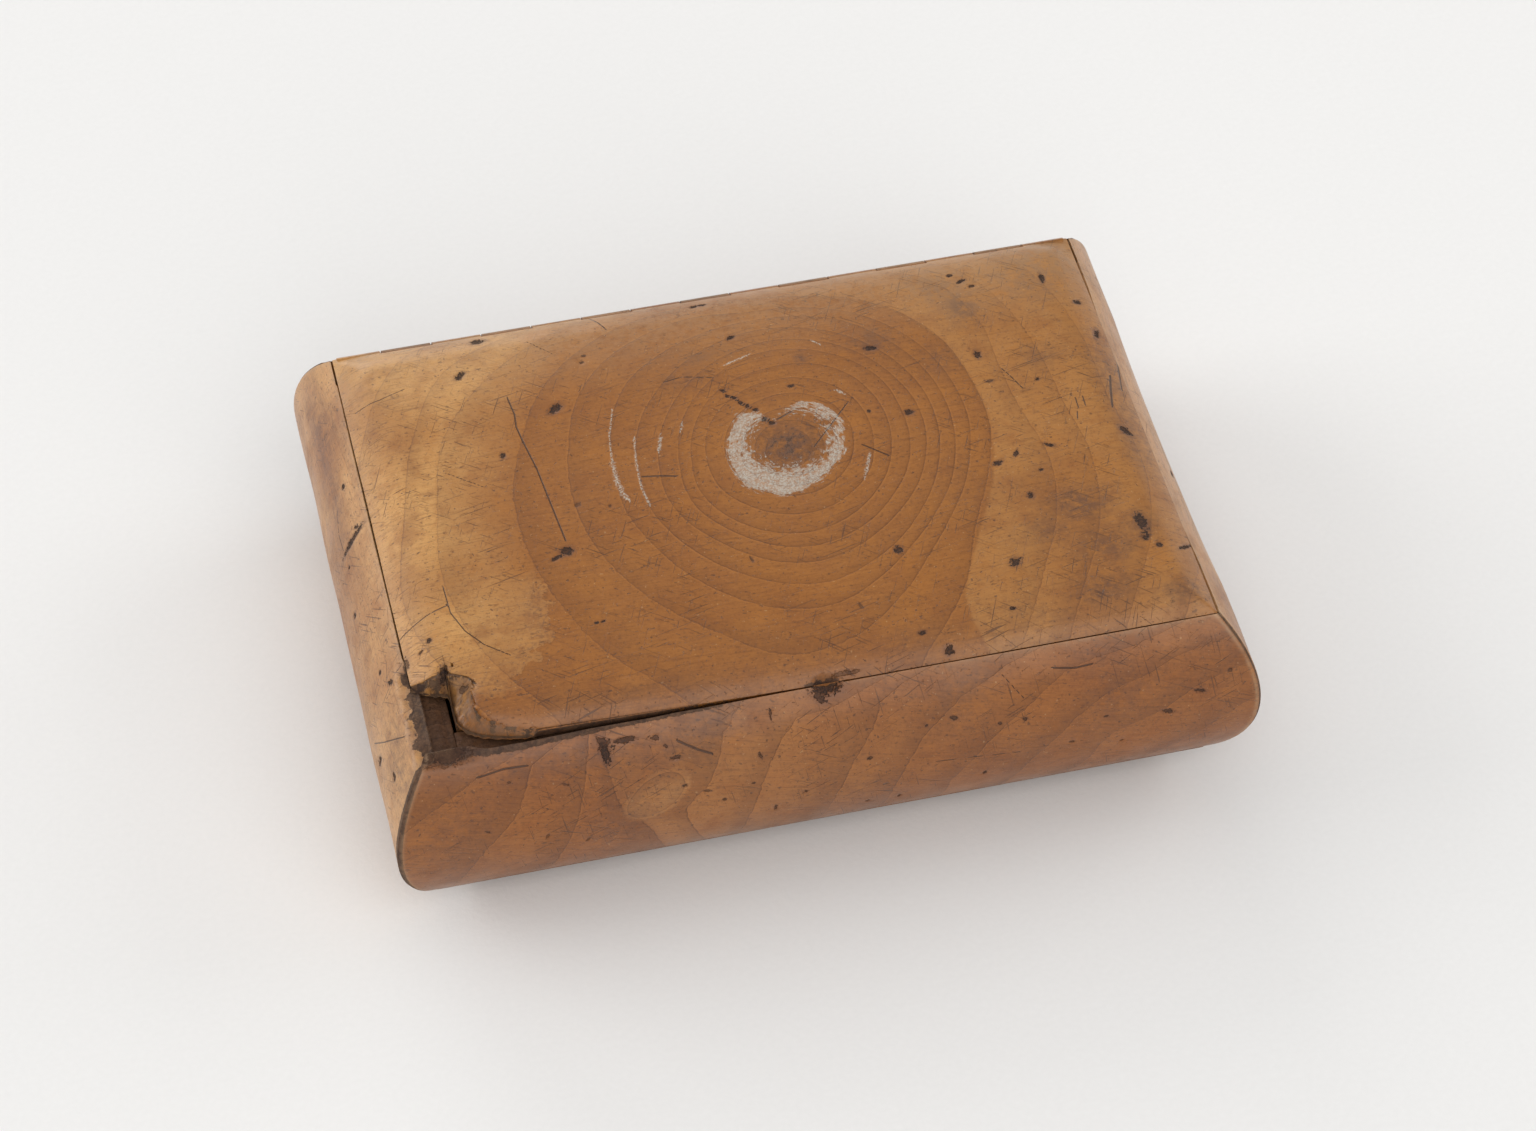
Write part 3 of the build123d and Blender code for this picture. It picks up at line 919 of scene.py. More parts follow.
rail_front, x, depth, outer = make_rail(
    "rail_front", seam_half_length, 0, front_dents, front_cracks, front_shape, front_crest,
)
ring, gap = ring_count(x, np.array([beside_line(depth, line) for line in front_rings]), 6.0)
lean = np.radians(12)
along = x * math.cos(lean) + depth * math.sin(lean)
across = depth * math.cos(lean) - x * math.sin(lean)
strip = 0.30 + 0.45 * unit((-20 - x) / 18)
crest_dirt = np.clip(0.55 + (strip - depth) / 0.45, 0, 0.85) * np.clip((-4.0 - x) / 12, 0.1, 1)
chip = unit(1.5 - np.hypot((x + 42.6) / 2.8, depth / 1.1))
# Painted shade of the open mitre at the front left corner, added to the dirt on the cut ends
left_mitre = open_mitre(x, depth, seam_half_length, 0.08, 0.30, 0.2) * (x < 0)
end_dirt_and_gap_shade = np.maximum(mitre_dirt(x, depth, seam_half_length), left_mitre)
# A small oval knot below the left dents, with a ring of its own, in the tan band beside the
# fifth ring line
knot_gap = np.hypot((x + 20.6) / 3.9, (depth - 8.8) / 3.1 + (x + 20.6) * 0.12)
in_knot = knot_gap < 1
ring = np.where(in_knot, 30.1 + 1.05 * knot_gap, ring)
gap = np.where(in_knot, 3.3, gap)
tan_edge = x - beside_line(depth, front_rings[4])
worn_skin = 0.30 * np.exp(-(((x + 27) / 10) ** 2) - ((depth - 2.5) / 2.6) ** 2)
rubbed = np.where(x < -42, 0.6, np.clip((x + 20) / 50, 0.1, 1))
plain_paint(
    rail_front, ring, gap, rail_grain(along, across, outer),
    show=np.where(outer, np.where(in_knot, 0.7, 1.2), 0.2),
    sap=np.maximum(tan_edge, 3 * (1 - knot_gap)),
    pale=0.16 * unit((22 - x) / 34) + 0.30 * in_knot,
    stain_and_shade=np.clip(0.18 + 0.3 * waves(x, depth, 14, 23) + worn_skin, 0, 0.7),
    grime_and_shade=unit(np.maximum(crest_dirt, chip) + end_dirt_and_gap_shade),
    wear_and_sheen=worn_edges(x, depth, seam_half_length, outer) * rubbed,
)

left_dents = [
    (-4.8, 3.0, 3.6, 0.75, 80), (-12.7, 2.4, 0.5, 0.5, 0), (3.9, 6.0, 0.6, 0.7, 0),
    (17.8, 2.2, 0.7, 0.5, -40), (-2.3, 4.7, 0.4, 0.4, 0), (-5.8, 2.0, 0.5, 0.4, 0),
    (23.5, 8.5, 0.8, 1.2, 20), (28.5, 5.5, 0.9, 0.6, 0), (15.0, 3.5, 0.5, 0.4, 0),
]
left_cracks = [
    (0.16, [(26.0, 2.0), (23.0, 6.0), (20.5, 9.0)]),
    (0.14, [(-11.0, 4.4), (-8.0, 5.2), (-5.2, 5.0)]),
]


def left_shape(x, depth):
    """Unevenness of the left rail, fuller towards the back, and the crest broken off in front."""
    torn = 0.35 * waves(x, depth, 3.0, 33)
    broken = 0.95 * unit(1.5 + torn - depth) * unit((x - 16.5) / 3)
    return 0.07 * waves(x, depth * 2, 20, 31) + 0.12 + broken


def left_crest(x, depth):
    """How far the left rail's crest is broken down beside the missing corner of the lid."""
    torn = 0.75 + 0.45 * waves(x, 0 * x, 2.4, 34)
    return 0.7 * torn * unit((x - 16.5) / 2.5) * unit((1.3 - depth) / 1.0)


rail_left, x, depth, outer = make_rail(
    "rail_left", seam_half_width, 3, left_dents, left_cracks, left_shape, left_crest,
)
across = depth + 0.10 * x + 0.5 * waves(x, depth, 30, 35)
pink = unit(1 - np.hypot((x + 20) / 18, (depth - 4.5) / 3.2))
ragged = 1.15 + 0.28 * waves(x, depth, 2.2, 37)
chip = unit((x - 16.5) / 2.0) * unit((ragged - depth) / 0.5 + 0.5)
# Painted shade of the open mitre at the front left corner, added to the dirt on the cut ends
front_mitre = open_mitre(x, depth, seam_half_width, 0.35, 0.45, 0.4) * (x > 0)
end_dirt_and_gap_shade = front_mitre + mitre_dirt(x, depth, seam_half_width)
corner_smoke = 0.45 * np.exp(-(((x - 27) / 6) ** 2) - ((depth - 2.5) / 3.5) ** 2)
rubbed = 0.7 - 0.7 * unit(chip + front_mitre)
plain_paint(
    rail_left, 4 + across / 3.6, 3.6, rail_grain(x, across, outer),
    show=np.where(outer, 0.35, 0.2), sap=3.0,
    pale=np.where(outer, 0.95, 0.3) * (1 - 0.70 * pink),
    stain_and_shade=np.clip(0.05 + pink * 0.5 + corner_smoke + 0.25 * waves(x, depth, 12, 36), 0, 0.8),
    grime_and_shade=unit(along_crest(depth) * 0.4 + chip * 0.78 + end_dirt_and_gap_shade),
    wear_and_sheen=worn_edges(x, depth, seam_half_width, outer) * rubbed,
)

back_dents = [
    (-30, 9, 0.9, 0.6, 20), (-11, 15, 0.6, 0.6, 0), (8, 5, 1.1, 0.6, -30), (27, 12, 0.7, 0.9, 0),
    (39, 7, 0.6, 0.5, 0), (-41, 13, 0.5, 0.5, 0), (17, 18, 0.8, 0.5, 15),
]
back_cracks = [
    (0.16, [(-22, 11), (-10, 11.6), (1, 11.2)]),
    (0.12, [(20, 6), (27, 8.5)]),
]


def back_shape(x, depth):
    """Hand-worked unevenness of the back rail."""
    return 0.06 * waves(x, depth * 2, 24, 41) + 0.10


rail_back, x, depth, outer = make_rail(
    "rail_back", seam_half_length, 2, back_dents, back_cracks, back_shape, step=0.5,
)
slant = x * 0.30 + 14 * (np.clip(depth, 0, None) / 24) ** 0.8 + 0.8 * waves(x, depth, 40, 43)
plain_paint(
    rail_back, 12 + slant / 3.2, 3.2, rail_grain(x, depth, outer),
    show=np.where(outer, 0.8, 0.2), sap=x - 12 - depth * 0.6, rag=0.6,
    pale=np.where(outer, 0.1 + 0.5 * unit((x - 8) / 16), 0.1),
    stain_and_shade=np.clip(0.15 + 0.3 * waves(x, depth, 15, 44), 0, 0.7),
    grime_and_shade=along_crest(depth - 1.7, 0.4) * 0.3 + mitre_dirt(x, depth, seam_half_length),
    wear_and_sheen=worn_edges(x, depth, seam_half_length, outer),
)

right_dents = [
    (-20, 7, 0.7, 0.9, 0), (-6, 4, 1.2, 0.5, 30), (4, 12, 0.6, 0.6, 0), (14, 8, 0.9, 0.5, -20),
    (22, 15, 0.6, 0.7, 0), (27, 4, 0.5, 0.5, 0),
]
right_cracks = [(0.14, [(-14, 3), (-6, 4.5), (0, 4.2)])]


def right_shape(x, depth):
    """Unevenness of the right rail, a little hollow along its middle."""
    hollow = 0.45 * unit(1 - (x / 22) ** 2)
    return hollow + 0.07 * waves(x, depth * 2, 20, 51) + 0.05


rail_right, x, depth, outer = make_rail(
    "rail_right", seam_half_width, 1, right_dents, right_cracks, right_shape,
)
across = depth - 0.12 * x + 0.6 * waves(x, depth, 26, 55)
plain_paint(
    rail_right, 4 + across / 3.0, 3.0, rail_grain(x, across, outer),
    show=np.where(outer, 0.45, 0.2), sap=14.0 - depth, rag=0.6,
    pale=np.where(outer, 0.65, 0.1) * np.clip((17 - depth) / 10, 0.2, 1),
    stain_and_shade=np.clip(0.05 + 0.25 * waves(x, depth, 12, 56), 0, 0.7),
    grime_and_shade=along_crest(depth) * 0.35 + mitre_dirt(x, depth, seam_half_width),
    wear_and_sheen=worn_edges(x, depth, seam_half_width, outer),
)

# Lid. One board cut across a knot, so that the rings lie round the middle like a target, with
# pale sapwood at both ends. A panel under it drops into the mouth, its back edge carries eight
# knuckles, and its front left corner has broken off.
lid_half_length = 45.2
lid_half_width = 30.8
lid_rise = 2.3
lid_crown = 0.5
panel_half_length = mouth_half_length - 0.4
panel_half_width = mouth_half_width - 0.4
panel_depth = 1.6
knuckle_reach = 44.6
lid_dent_depth = 0.14
corner_x = -seam_half_length
corner_y = -seam_half_width
break_reach_x = 14.5
break_reach_y = 12.0
break_low = [(0.0, 9.8), (0.65, 9.7), (2.0, 9.0), (4.0, 8.5), (4.25, 8.4), (4.3, 4.45), (4.65, 3.5),
             (5.4, 2.6), (6.6, 1.85), (8.2, 1.25), (10.2, 0.8), (12.4, 0.55)]
break_high = [(-2, 10.3), (0.0, 10.0), (0.9, 9.7), (2.2, 9.2), (3.2, 9.15), (4.1, 9.6), (4.45, 8.85),
              (5.3, 8.5), (6.5, 7.9), (6.8, 7.1), (6.5, 6.25), (6.4, 4.9), (6.3, 3.8), (6.7, 2.9),
              (7.7, 2.1), (9.2, 1.45), (10.8, 1.0), (12.4, 0.7), (13.5, 0.0), (13.5, -2)]
break_low = [(corner_x + x, corner_y + y) for x, y in break_low]
break_high = [(corner_x + x, corner_y + y) for x, y in break_high]


def beside_break(x, y):
    """Whether points are near the broken corner, and where they lie beside the break's upper line,
    as signed and plain distance. Negative is on the missing side."""
    in_corner = (x < corner_x + break_reach_x) & (y < corner_y + break_reach_y)
    return in_corner, *path_place(x, y, break_high)


def lid_surface(x, y):
    """Height of the lid's top above the seam: the smaller of its two shoulder sections, a little
    uneven, kept below the crown so that the lifted corner stays inside the board's own height."""
    ends = shoulder_height(np.abs(x), lid_half_length, lid_rise + lid_crown, 0)
    sides = shoulder_height(np.abs(y), lid_half_width, lid_rise, lid_crown)
    height = soft_min(ends, sides, 0.45)
    uneven = 0.05 * waves(x, y, 28, 61) - 0.16
    corner = np.hypot((lid_half_length - np.abs(x)) / 6, (lid_half_width - y) / 6)
    worn = np.where(x > 0, 1.1, 0.7) * unit(1 - corner) ** 1.5 * unit(height / 1.3)
    return np.maximum(height + uneven * unit(height / 1.5) - worn, -0.5)


def lid_lift(x, y):
    """How far the board has warped up: most at the broken corner, nothing past the middle."""
    front = unit((8 - y) / 38) ** 1.5
    left = unit((6 - x) / 48) ** 1.3
    return 0.75 * front * left


# Stations of the mesh from left to right, close together over the broken corner
fine_step = 0.16
plain_step = 0.345
end_inset = 0.06
fine_part = np.arange(-lid_half_length + end_inset, -36.2, fine_step)
rest = spaced(-36.0, lid_half_length - end_inset, plain_step, 0.12, 1.2)
rest = rest[rest > fine_part[-1] + 0.1]
lid_changes = np.sort(np.concatenate([
    wall_knuckles - notch_half, wall_knuckles + notch_half,
    [-knuckle_reach, knuckle_reach, -panel_half_length, panel_half_length],
]))
places = with_breaks(np.concatenate([fine_part, rest]), lid_changes)
# What each station has: a notch or a knuckle behind, the panel below, a whole front edge
in_notch = np.abs(places[:, None] - wall_knuckles[None, :]).min(axis=1) < notch_half
has_knuckle = (np.abs(places) < knuckle_reach) & ~in_notch
on_panel = np.abs(places) < panel_half_length

low_x, low_y = np.array(break_low).T
bevel = unit((lid_half_length - np.abs(places)) / seam_bevel)
whole = places >= low_x[-1]
gape = unit((-3.0 - places) / 30)
front_y = np.where(whole, -lid_half_width + 0.05 + 0.30 * gape, np.interp(places, low_x, low_y))
front_y = np.where(on_panel, np.minimum(front_y, -panel_half_width - 0.06), front_y)
# The top ends where the knuckles' circle or the notches' circle leaves it
knuckle_brow = 30.25
notch_brow = 29.90
back_y = np.where(has_knuckle, knuckle_brow, np.where(in_notch, notch_brow, lid_half_width))

plain_count = 166
fine_rows = np.full(30, fine_step)
grading = np.linspace(0.17, 0.33, 8)
rest_width = 2 * lid_half_width - fine_rows.sum() - grading.sum()
plain_rows = np.full(plain_count, rest_width / plain_count)
row_share = np.concatenate([[0], np.cumsum(np.concatenate([fine_rows, grading, plain_rows]))])
row_share /= row_share[-1]
top_y = front_y[:, None] + (back_y - front_y)[:, None] * row_share[None, :]
top_x = np.repeat(places[:, None], top_y.shape[1], axis=1)
top_z = lid_surface(top_x, top_y)
in_corner, signed, plain = beside_break(top_x, top_y)
low_plain = path_place(top_x, top_y, break_low)[1]
missing = np.where(in_corner & (signed < 0), plain, 0)
slope_share = missing / (missing + low_plain + 0.02)
torn = 0.22 * waves(top_x, top_y, 1.3, 63) + 0.12 * waves(top_x, top_y, 0.6, 64)
slope = top_z * (1 - slope_share) + (-1.15 + torn) * slope_share
slope = slope - 0.25 * unit(missing / 0.3)
top_z = np.where(missing > 0, np.minimum(slope, top_z), top_z)
lip_radius = 0.45
no_edge = 99
lip_gap = np.where(in_corner & (signed >= 0), plain, no_edge)
arris_gap = np.where(whole[:, None], top_y - front_y[:, None], no_edge)
lip_round = 0.45 * np.exp(-lip_gap / lip_radius)
arris_round = (0.12 + 0.38 * gape[:, None]) * np.exp(-arris_gap / lip_radius)
top_z -= np.maximum(lip_round, arris_round)

# The pry notch is pressed in by a ball whose middle hangs out and up from the front seam
ball_radius = 2.0
ball_lift = 1.2
ball_y = -seam_half_width - ball_lift * seam_out
ball_z = ball_lift * seam_up
ball_gap = ball_radius**2 - (top_x + 0.3) ** 2 * 0.8 - (top_y - ball_y) ** 2
ball_floor = ball_z - np.sqrt(np.clip(ball_gap, 0, None))
top_z = np.where(ball_gap > 0, np.minimum(top_z, ball_floor), top_z)

# Back edge: round the knuckle, round the notch, or bevelled past the last knuckle
knuckle_arc = hinge_arc(barrel_radius, 64, -181.5, 22) - [0, upper_seam]
notch_arc = hinge_arc(bearing_radius, 78, 178, 22) - [0, upper_seam]
plain_edge = np.concatenate([
    np.linspace((lid_half_width - 0.02, -0.06), (lid_half_width - seam_bevel, -seat_depth), 8),
    np.linspace((lid_half_width - seam_bevel, -seat_depth), (mouth_half_width, -seat_depth), 15)[1:],
])
edge = np.where(has_knuckle[:, None, None], knuckle_arc[None],
                np.where(in_notch[:, None, None], notch_arc[None], plain_edge[None]))
# Underside from back to front: rim, panel, rim, the foot of the front bevel, and its brow
panel_front = np.where(on_panel, -panel_half_width, np.maximum(front_y + 0.7, -panel_half_width))
panel_share = np.linspace(0, 1, 28)
panel_y = panel_half_width + (panel_front - panel_half_width)[:, None] * panel_share[None, :]
panel_z = np.where(on_panel[:, None], -seat_depth - panel_depth, -seat_depth) + 0 * panel_y
panel_z[:, [0, -1]] = np.where(on_panel[:, None], -seat_depth - panel_depth + 0.12, -seat_depth)
rim_back = coords(np.full(len(places), panel_half_width), -seat_depth)
rim_front = coords(panel_front, -seat_depth)
foot_y = np.where(whole, -lid_half_width + seam_bevel, np.minimum(front_y + 0.12, panel_front - 0.02))
foot = coords(foot_y, -seat_depth)
brow_z = np.where(whole, -0.12 + 0.25 * gape, -seat_depth * 0.55)
brow = coords(np.where(whole, front_y + 0.02, front_y + 0.03), brow_z)
chain = np.concatenate([
    coords(top_y, top_z),
    edge,
    rim_back[:, None],
    coords(panel_y, panel_z),
    rim_front[:, None],
    foot[:, None],
    brow[:, None],
], axis=1)
# Past the last knuckle only the bevelled end is left, so the underside is raised to it
lower = chain[:, top_y.shape[1]:, 1]
plain_station = np.abs(places) > knuckle_reach
ceiling = -seat_depth * bevel[:, None] - 0.03
chain[:, top_y.shape[1]:, 1] = np.where(plain_station[:, None], np.maximum(lower, ceiling), lower)
lift = lid_lift(places[:, None], chain[:, :, 0])
lid_loops = coords(places[:, None], chain[:, :, 0], chain[:, :, 1] + upper_seam + lift)
flat = lid_loops.reshape(-1, 3)
row_index = np.tile(np.arange(chain.shape[1]), len(places))
on_top = row_index < top_y.shape[1]
x, y = flat[:, 0].copy(), flat[:, 1].copy()

lid_dents = [
    (-28.0, 28.3, 1.5, 1.0, 10), (-31.2, 22.7, 1.3, 0.7, 40), (-21.4, 14.8, 1.6, 0.9, 35),
    (-28.8, 8.8, 0.5, 0.8, 0), (-24.6, -7.3, 1.3, 1.0, 20), (-26.1, -8.2, 1.0, 0.35, 20),
    (-42.1, -16.6, 0.5, 0.5, 0), (1.1, 21.5, 0.8, 0.5, 30), (16.8, 16.0, 1.4, 0.6, -5),
    (18.5, 4.8, 0.9, 0.8, 0), (6.1, 12.1, 0.7, 0.35, -10), (14.0, 6.0, 0.35, 0.35, 0),
    (28.7, 12.0, 0.7, 1.1, 0), (30.1, 24.5, 0.9, 0.4, 20), (31.1, 23.4, 0.6, 0.35, 0),
    (29.0, 25.8, 0.5, 0.35, 0), (39.6, 22.7, 0.5, 1.2, 0), (42.8, 18.4, 0.9, 0.6, 15),
    (43.8, 13.3, 0.6, 1.5, -20), (26.5, -5.3, 1.0, 0.6, 20), (28.9, -4.3, 0.9, 0.45, 55),
    (33.0, -3.9, 1.2, 0.4, -30), (31.0, -7.4, 0.4, 0.4, 0), (42.4, -3.2, 1.5, 0.8, -50),
    (28.8, -11.0, 0.6, 0.8, 0), (12.0, -15.5, 0.8, 1.0, -20), (24.4, -20.2, 1.2, 1.0, 40),
    (40.0, -17.6, 1.1, 2.2, 10), (39.8, -19.9, 0.8, 0.7, 0), (41.0, -21.3, 0.6, 0.6, 0),
    (44.2, -21.2, 1.8, 0.4, 35), (14.1, -29.8, 0.9, 0.8, 0), (11.6, -27.6, 0.8, 0.4, 0),
    (22.3, -26.6, 0.6, 0.35, 0), (34.5, 6.5, 0.4, 0.4, 0), (29.0, 7.5, 0.8, 0.4, 0, 0.6),
    (-16.9, 21.5, 0.4, 0.3, 0, 0.7), (-16.4, 22.5, 0.4, 0.3, 0, 0.7), (-2.0, 28.0, 0.8, 0.4, 0),
    (-0.8, 28.1, 0.7, 0.4, 0), (-23.6, -18.5, 0.35, 0.3, 0), (-22.7, -18.4, 0.35, 0.3, 0),
    (-18.4, -1.6, 0.5, 0.35, 60, 0.6), (-22.0, -0.7, 0.6, 0.5, 0, 0.5), (2.2, -30.2, 2.6, 0.4, 0, 0.5),
    (-1.8, 13.2, 0.45, 0.4, 0), (-1.5, 12.2, 0.5, 0.45, 0), (-0.7, 11.7, 0.5, 0.4, 0),
    (-0.2, 10.8, 0.5, 0.45, 0), (0.4, 10.1, 0.5, 0.45, 0), (1.2, 9.3, 0.6, 0.5, 0),
    (1.9, 7.6, 0.7, 0.45, 30), (2.7, 6.8, 0.8, 0.5, 0), (-41.4, -21.3, 1.3, 0.8, 60, 0.85),
    (-43.9, -22.6, 1.4, 0.5, -30, 0.7), (-39.6, -23.6, 1.0, 0.5, -20, 0.7),
    (-43.2, -17.6, 0.6, 0.3, 30, 0.7), (-45.0, -17.9, 0.5, 1.4, 0, 0.7),
    (5.8, -22.5, 0.3, 0.9, 20, 0.5), (-4.5, -13.2, 0.25, 0.8, 15, 0.6),
]
lid_cracks = [
    (0.21, [(-26.5, 17.8), (-26.2, 15), (-26.4, 13), (-26.1, 10.5), (-25.4, 6), (-24.9, 0), (-24.4, -5.8)]),
    (0.15, [(-39.2, -9.5), (-39.1, -13.5), (-38, -16.5), (-36.3, -18.9), (-33.8, -21)]),
    (0.16, [(-45.2, -14.2), (-41.5, -13), (-39.2, -12.3)]),
    (0.26, [(-13.8, 1.9), (-12, 1.6), (-10, 1.1)]),
    (0.16, [(30.8, 9.3), (31.6, 7.6), (32.4, 5.5)]),
    (0.34, [(43.3, 6), (42.6, 3.4), (42, 0.8)]),
    (0.22, [(45.3, 9.7), (44.2, 4)]),
    (0.16, [(6.5, 2), (9, 4.7), (12, 8)]),
    (0.22, [(12, 1), (14.5, -1.3)]),
    (0.14, [(-8.5, 16), (-6, 16.4), (-2.5, 15.5)]),
    (0.18, [(-14.3, 29.5), (-13.6, 28), (-12.9, 26.2)]),
    (0.12, [(-22.5, 26.5), (-20, 23.8)]),
    (0.12, [(-44, 20.7), (-41, 21), (-38, 22)]),
    (0.12, [(-35.5, 7.5), (-31.8, 4.4)]),
    (0.16, [(38.0, 2.6), (37.9, 1.0)]),
    (0.16, [(38.9, 2.7), (38.8, 1.1)]),
    (0.16, [(37.6, 0.4), (37.3, -0.8)]),
    (0.24, [(3.4, 7.2), (5.2, 8.0)]),
    (0.34, [(-45.3, -21.0), (-43.9, -21.6), (-42.2, -21.7), (-41.3, -21.2), (-40.8, -22.0), (-39.0, -22.9),
            (-38.4, -23.8)]),
    (0.22, [(-43.6, -22.4), (-42.6, -23.0), (-41.6, -22.6)]),
]
lid_streaks = [
    (0.30, [(-15, 13), (-16.2, 9), (-16.8, 4.6)]),
    (0.75, [(-16.8, 4.6), (-16.8, 1), (-16.3, -1)]),
    (0.36, [(-13.5, 8), (-14.1, 4), (-14.3, 0.5), (-14, -2.5)]),
    (0.60, [(-10.5, 7.5), (-11.1, 5.6)]),
    (0.40, [(-7.6, 9.0), (-8.0, 8.0)]),
    (0.45, [(12.5, -0.5), (11, -4)]),
    (0.36, [(-0.5, 17.2), (2.5, 18.2)]),
    (0.30, [(10.3, 18.8), (11, 18)]),
    (0.50, [(11.3, 10.0), (11.7, 9.6)]),
]
dent, dent_show = mark_places(x, y, lid_dents)
crack = line_places(x, y, lid_cracks)
streak = line_places(x, y, lid_streaks)
flat[:, 2] -= np.where(on_top, sink(dent, lid_dent_depth), 0)
for found in (dent, crack, streak):
    found[~on_top] = FAR
lid = loft("lid_board", lid_loops)
paint_all(lid, dent=dent, dent_show=dent_show, crack=crack, streak=streak)

# Ring radii of the lid, read round the knot every 15 degrees, from the middle outwards
knot = (3.5, 2.4)
ring_table = np.array([
    [0.6] * 24,
    [1.6, 1.7, 1.8, 1.9, 1.9, 1.8, 1.7, 1.6, 1.6, 1.5, 1.5, 1.5, 1.5, 1.6, 1.7, 1.8, 1.9, 2, 2, 1.9,
     1.8, 1.7, 1.6, 1.6],
    [2.8, 2.9, 3.0, 3.1, 3.1, 3.0, 2.9, 2.8, 2.7, 2.7, 2.6, 2.6, 2.7, 2.8, 2.9, 3.0, 3.1, 3.1, 3.1, 3.0,
     2.9, 2.8, 2.8, 2.8],
    [4.2, 4.3, 4.5, 4.6, 4.6, 4.5, 4.4, 4.2, 4.1, 4.0, 3.9, 3.9, 4.0, 4.1, 4.3, 4.4, 4.5, 4.5, 4.5, 4.4,
     4.3, 4.2, 4.2, 4.2],
    [5.9, 6.1, 6.4, 6.6, 6.7, 6.6, 6.4, 6.1, 5.9, 5.7, 5.6, 5.5, 5.6, 5.7, 5.8, 5.9, 5.9, 6.0, 6.0, 5.9,
     5.8, 5.8, 5.8, 5.8],
    [7.8, 8.2, 8.5, 8.9, 9.0, 8.9, 8.6, 8.3, 8.0, 7.8, 7.5, 7.4, 7.3, 7.3, 7.3, 7.25, 7.25, 7.3, 7.4,
     7.4, 7.35, 7.35, 7.4, 7.5],
    [10.1, 10.5, 11.0, 11.4, 11.5, 11.4, 11.05, 10.7, 10.3, 10.0, 9.8, 9.6, 9.6, 9.8, 10.0, 10.0, 10.1,
     10.2, 10.27, 10.2, 10.0, 9.93, 9.93, 9.9],
    [12.2, 12.7, 13.3, 13.9, 14.1, 13.7, 13.1, 12.8, 12.3, 11.8, 11.4, 11.3, 11.4, 12.0, 12.4, 12.7,
     12.93, 13.13, 13.07, 12.73, 12.33, 12.0, 11.93, 11.9],
    [14.3, 14.7, 15.5, 16.0, 16.2, 16.2, 15.8, 14.9, 14.0, 13.4, 13.0, 12.7, 12.8, 13.4, 14.0, 14.2,
     14.6, 15.07, 15.17, 14.83, 14.4, 14.0, 14.0, 14.1],
    [16.3, 16.7, 17.0, 17.5, 17.8, 17.8, 17.4, 16.6, 15.9, 15.3, 15.0, 15.0, 15.2, 15.8, 16.17, 16.33,
     16.83, 17.4, 17.5, 16.83, 16.17, 15.83, 15.83, 15.93],
    [17.8, 18.3, 18.8, 19.3, 19.7, 19.8, 19.6, 19.0, 18.4, 17.9, 17.73, 17.67, 17.7, 18.27, 18.67,
     19.17, 19.83, 20.5, 20.73, 19.67, 18.67, 17.83, 17.5, 17.5],
    [19.6, 20.1, 20.7, 21.3, 21.9, 21.7, 21.33, 21.33, 21.4, 21.6, 21.17, 20.6, 20.4, 20.93, 21.33,
     22.27, 23.33, 24.17, 23.93, 22.0, 20.33, 19.5, 19.33, 19.3],
    [21.5, 22.0, 22.7, 23.3, 23.5, 23.2, 22.9, 24.3, 25.17, 25.83, 25.8, 25.4, 25.7, 26.27, 27.0, 27.8,
     28.8, 30.6, 29.2, 25.8, 22.83, 21.33, 20.93, 21.0],
    [23.8, 24.2, 25.3, 25.9, 25.8, 25.2, 25.6, 26.7, 28.0, 29.4, 30.4, 30.9, 32.3, 33.5, 35.0, 37.0,
     38.0, 39.0, 38.0, 33.0, 28.7, 24.67, 23.35, 23.35],
    [27.8, 28.2, 31.0, 32.7, 31.5, 30.5, 30.5, 31.0, 32.2, 34.3, 37.3, 40.0, 41.2, 44.0, 46.0, 47.0,
     48.0, 49.0, 48.0, 43.0, 38.0, 34.0, 32.0, 30.0],
    [33.0, 33.5, 35.0, 36.0, 35.0, 34.0, 34.0, 34.5, 35.5, 37.5, 42.3, 43.5, 45.0, 49.0, 51.0, 52.0,
     53.0, 54.0, 53.0, 48.0, 43.0, 39.0, 37.0, 35.0],
    [38.5, 39.5, 41.0, 42.0, 41.0, 40.0, 40.0, 40.5, 41.5, 43.5, 48.0, 49.5, 51.0, 55.0, 57.0, 58.0,
     59.0, 60.0, 59.0, 54.0, 49.0, 45.0, 43.0, 41.0],
])
farther = ring_table[-1] + np.arange(6.0, 31.0, 6.0)[:, None]
ring_table = np.concatenate([ring_table, farther])


def round_table(table, turn_share):
    """Value of each row of a table at any angle: a cubic through the nearest four columns of a
    table that closes on itself."""
    columns = table.shape[1]
    place = (turn_share % 1.0) * columns
    first = np.floor(place).astype(int)
    t = place - first
    a, b, c, d = (table[:, (first + k) % columns] for k in (-1, 0, 1, 2))
    return b + 0.5 * t * (c - a + t * (2 * a - 5 * b + 4 * c - d + t * (3 * (b - c) + d - a)))


dx, dy = x - knot[0], y - knot[1]
radius = np.hypot(dx, dy)
angle = np.arctan2(dy, dx)
ring, gap = ring_count(radius, round_table(ring_table, angle / math.tau), 5.0)

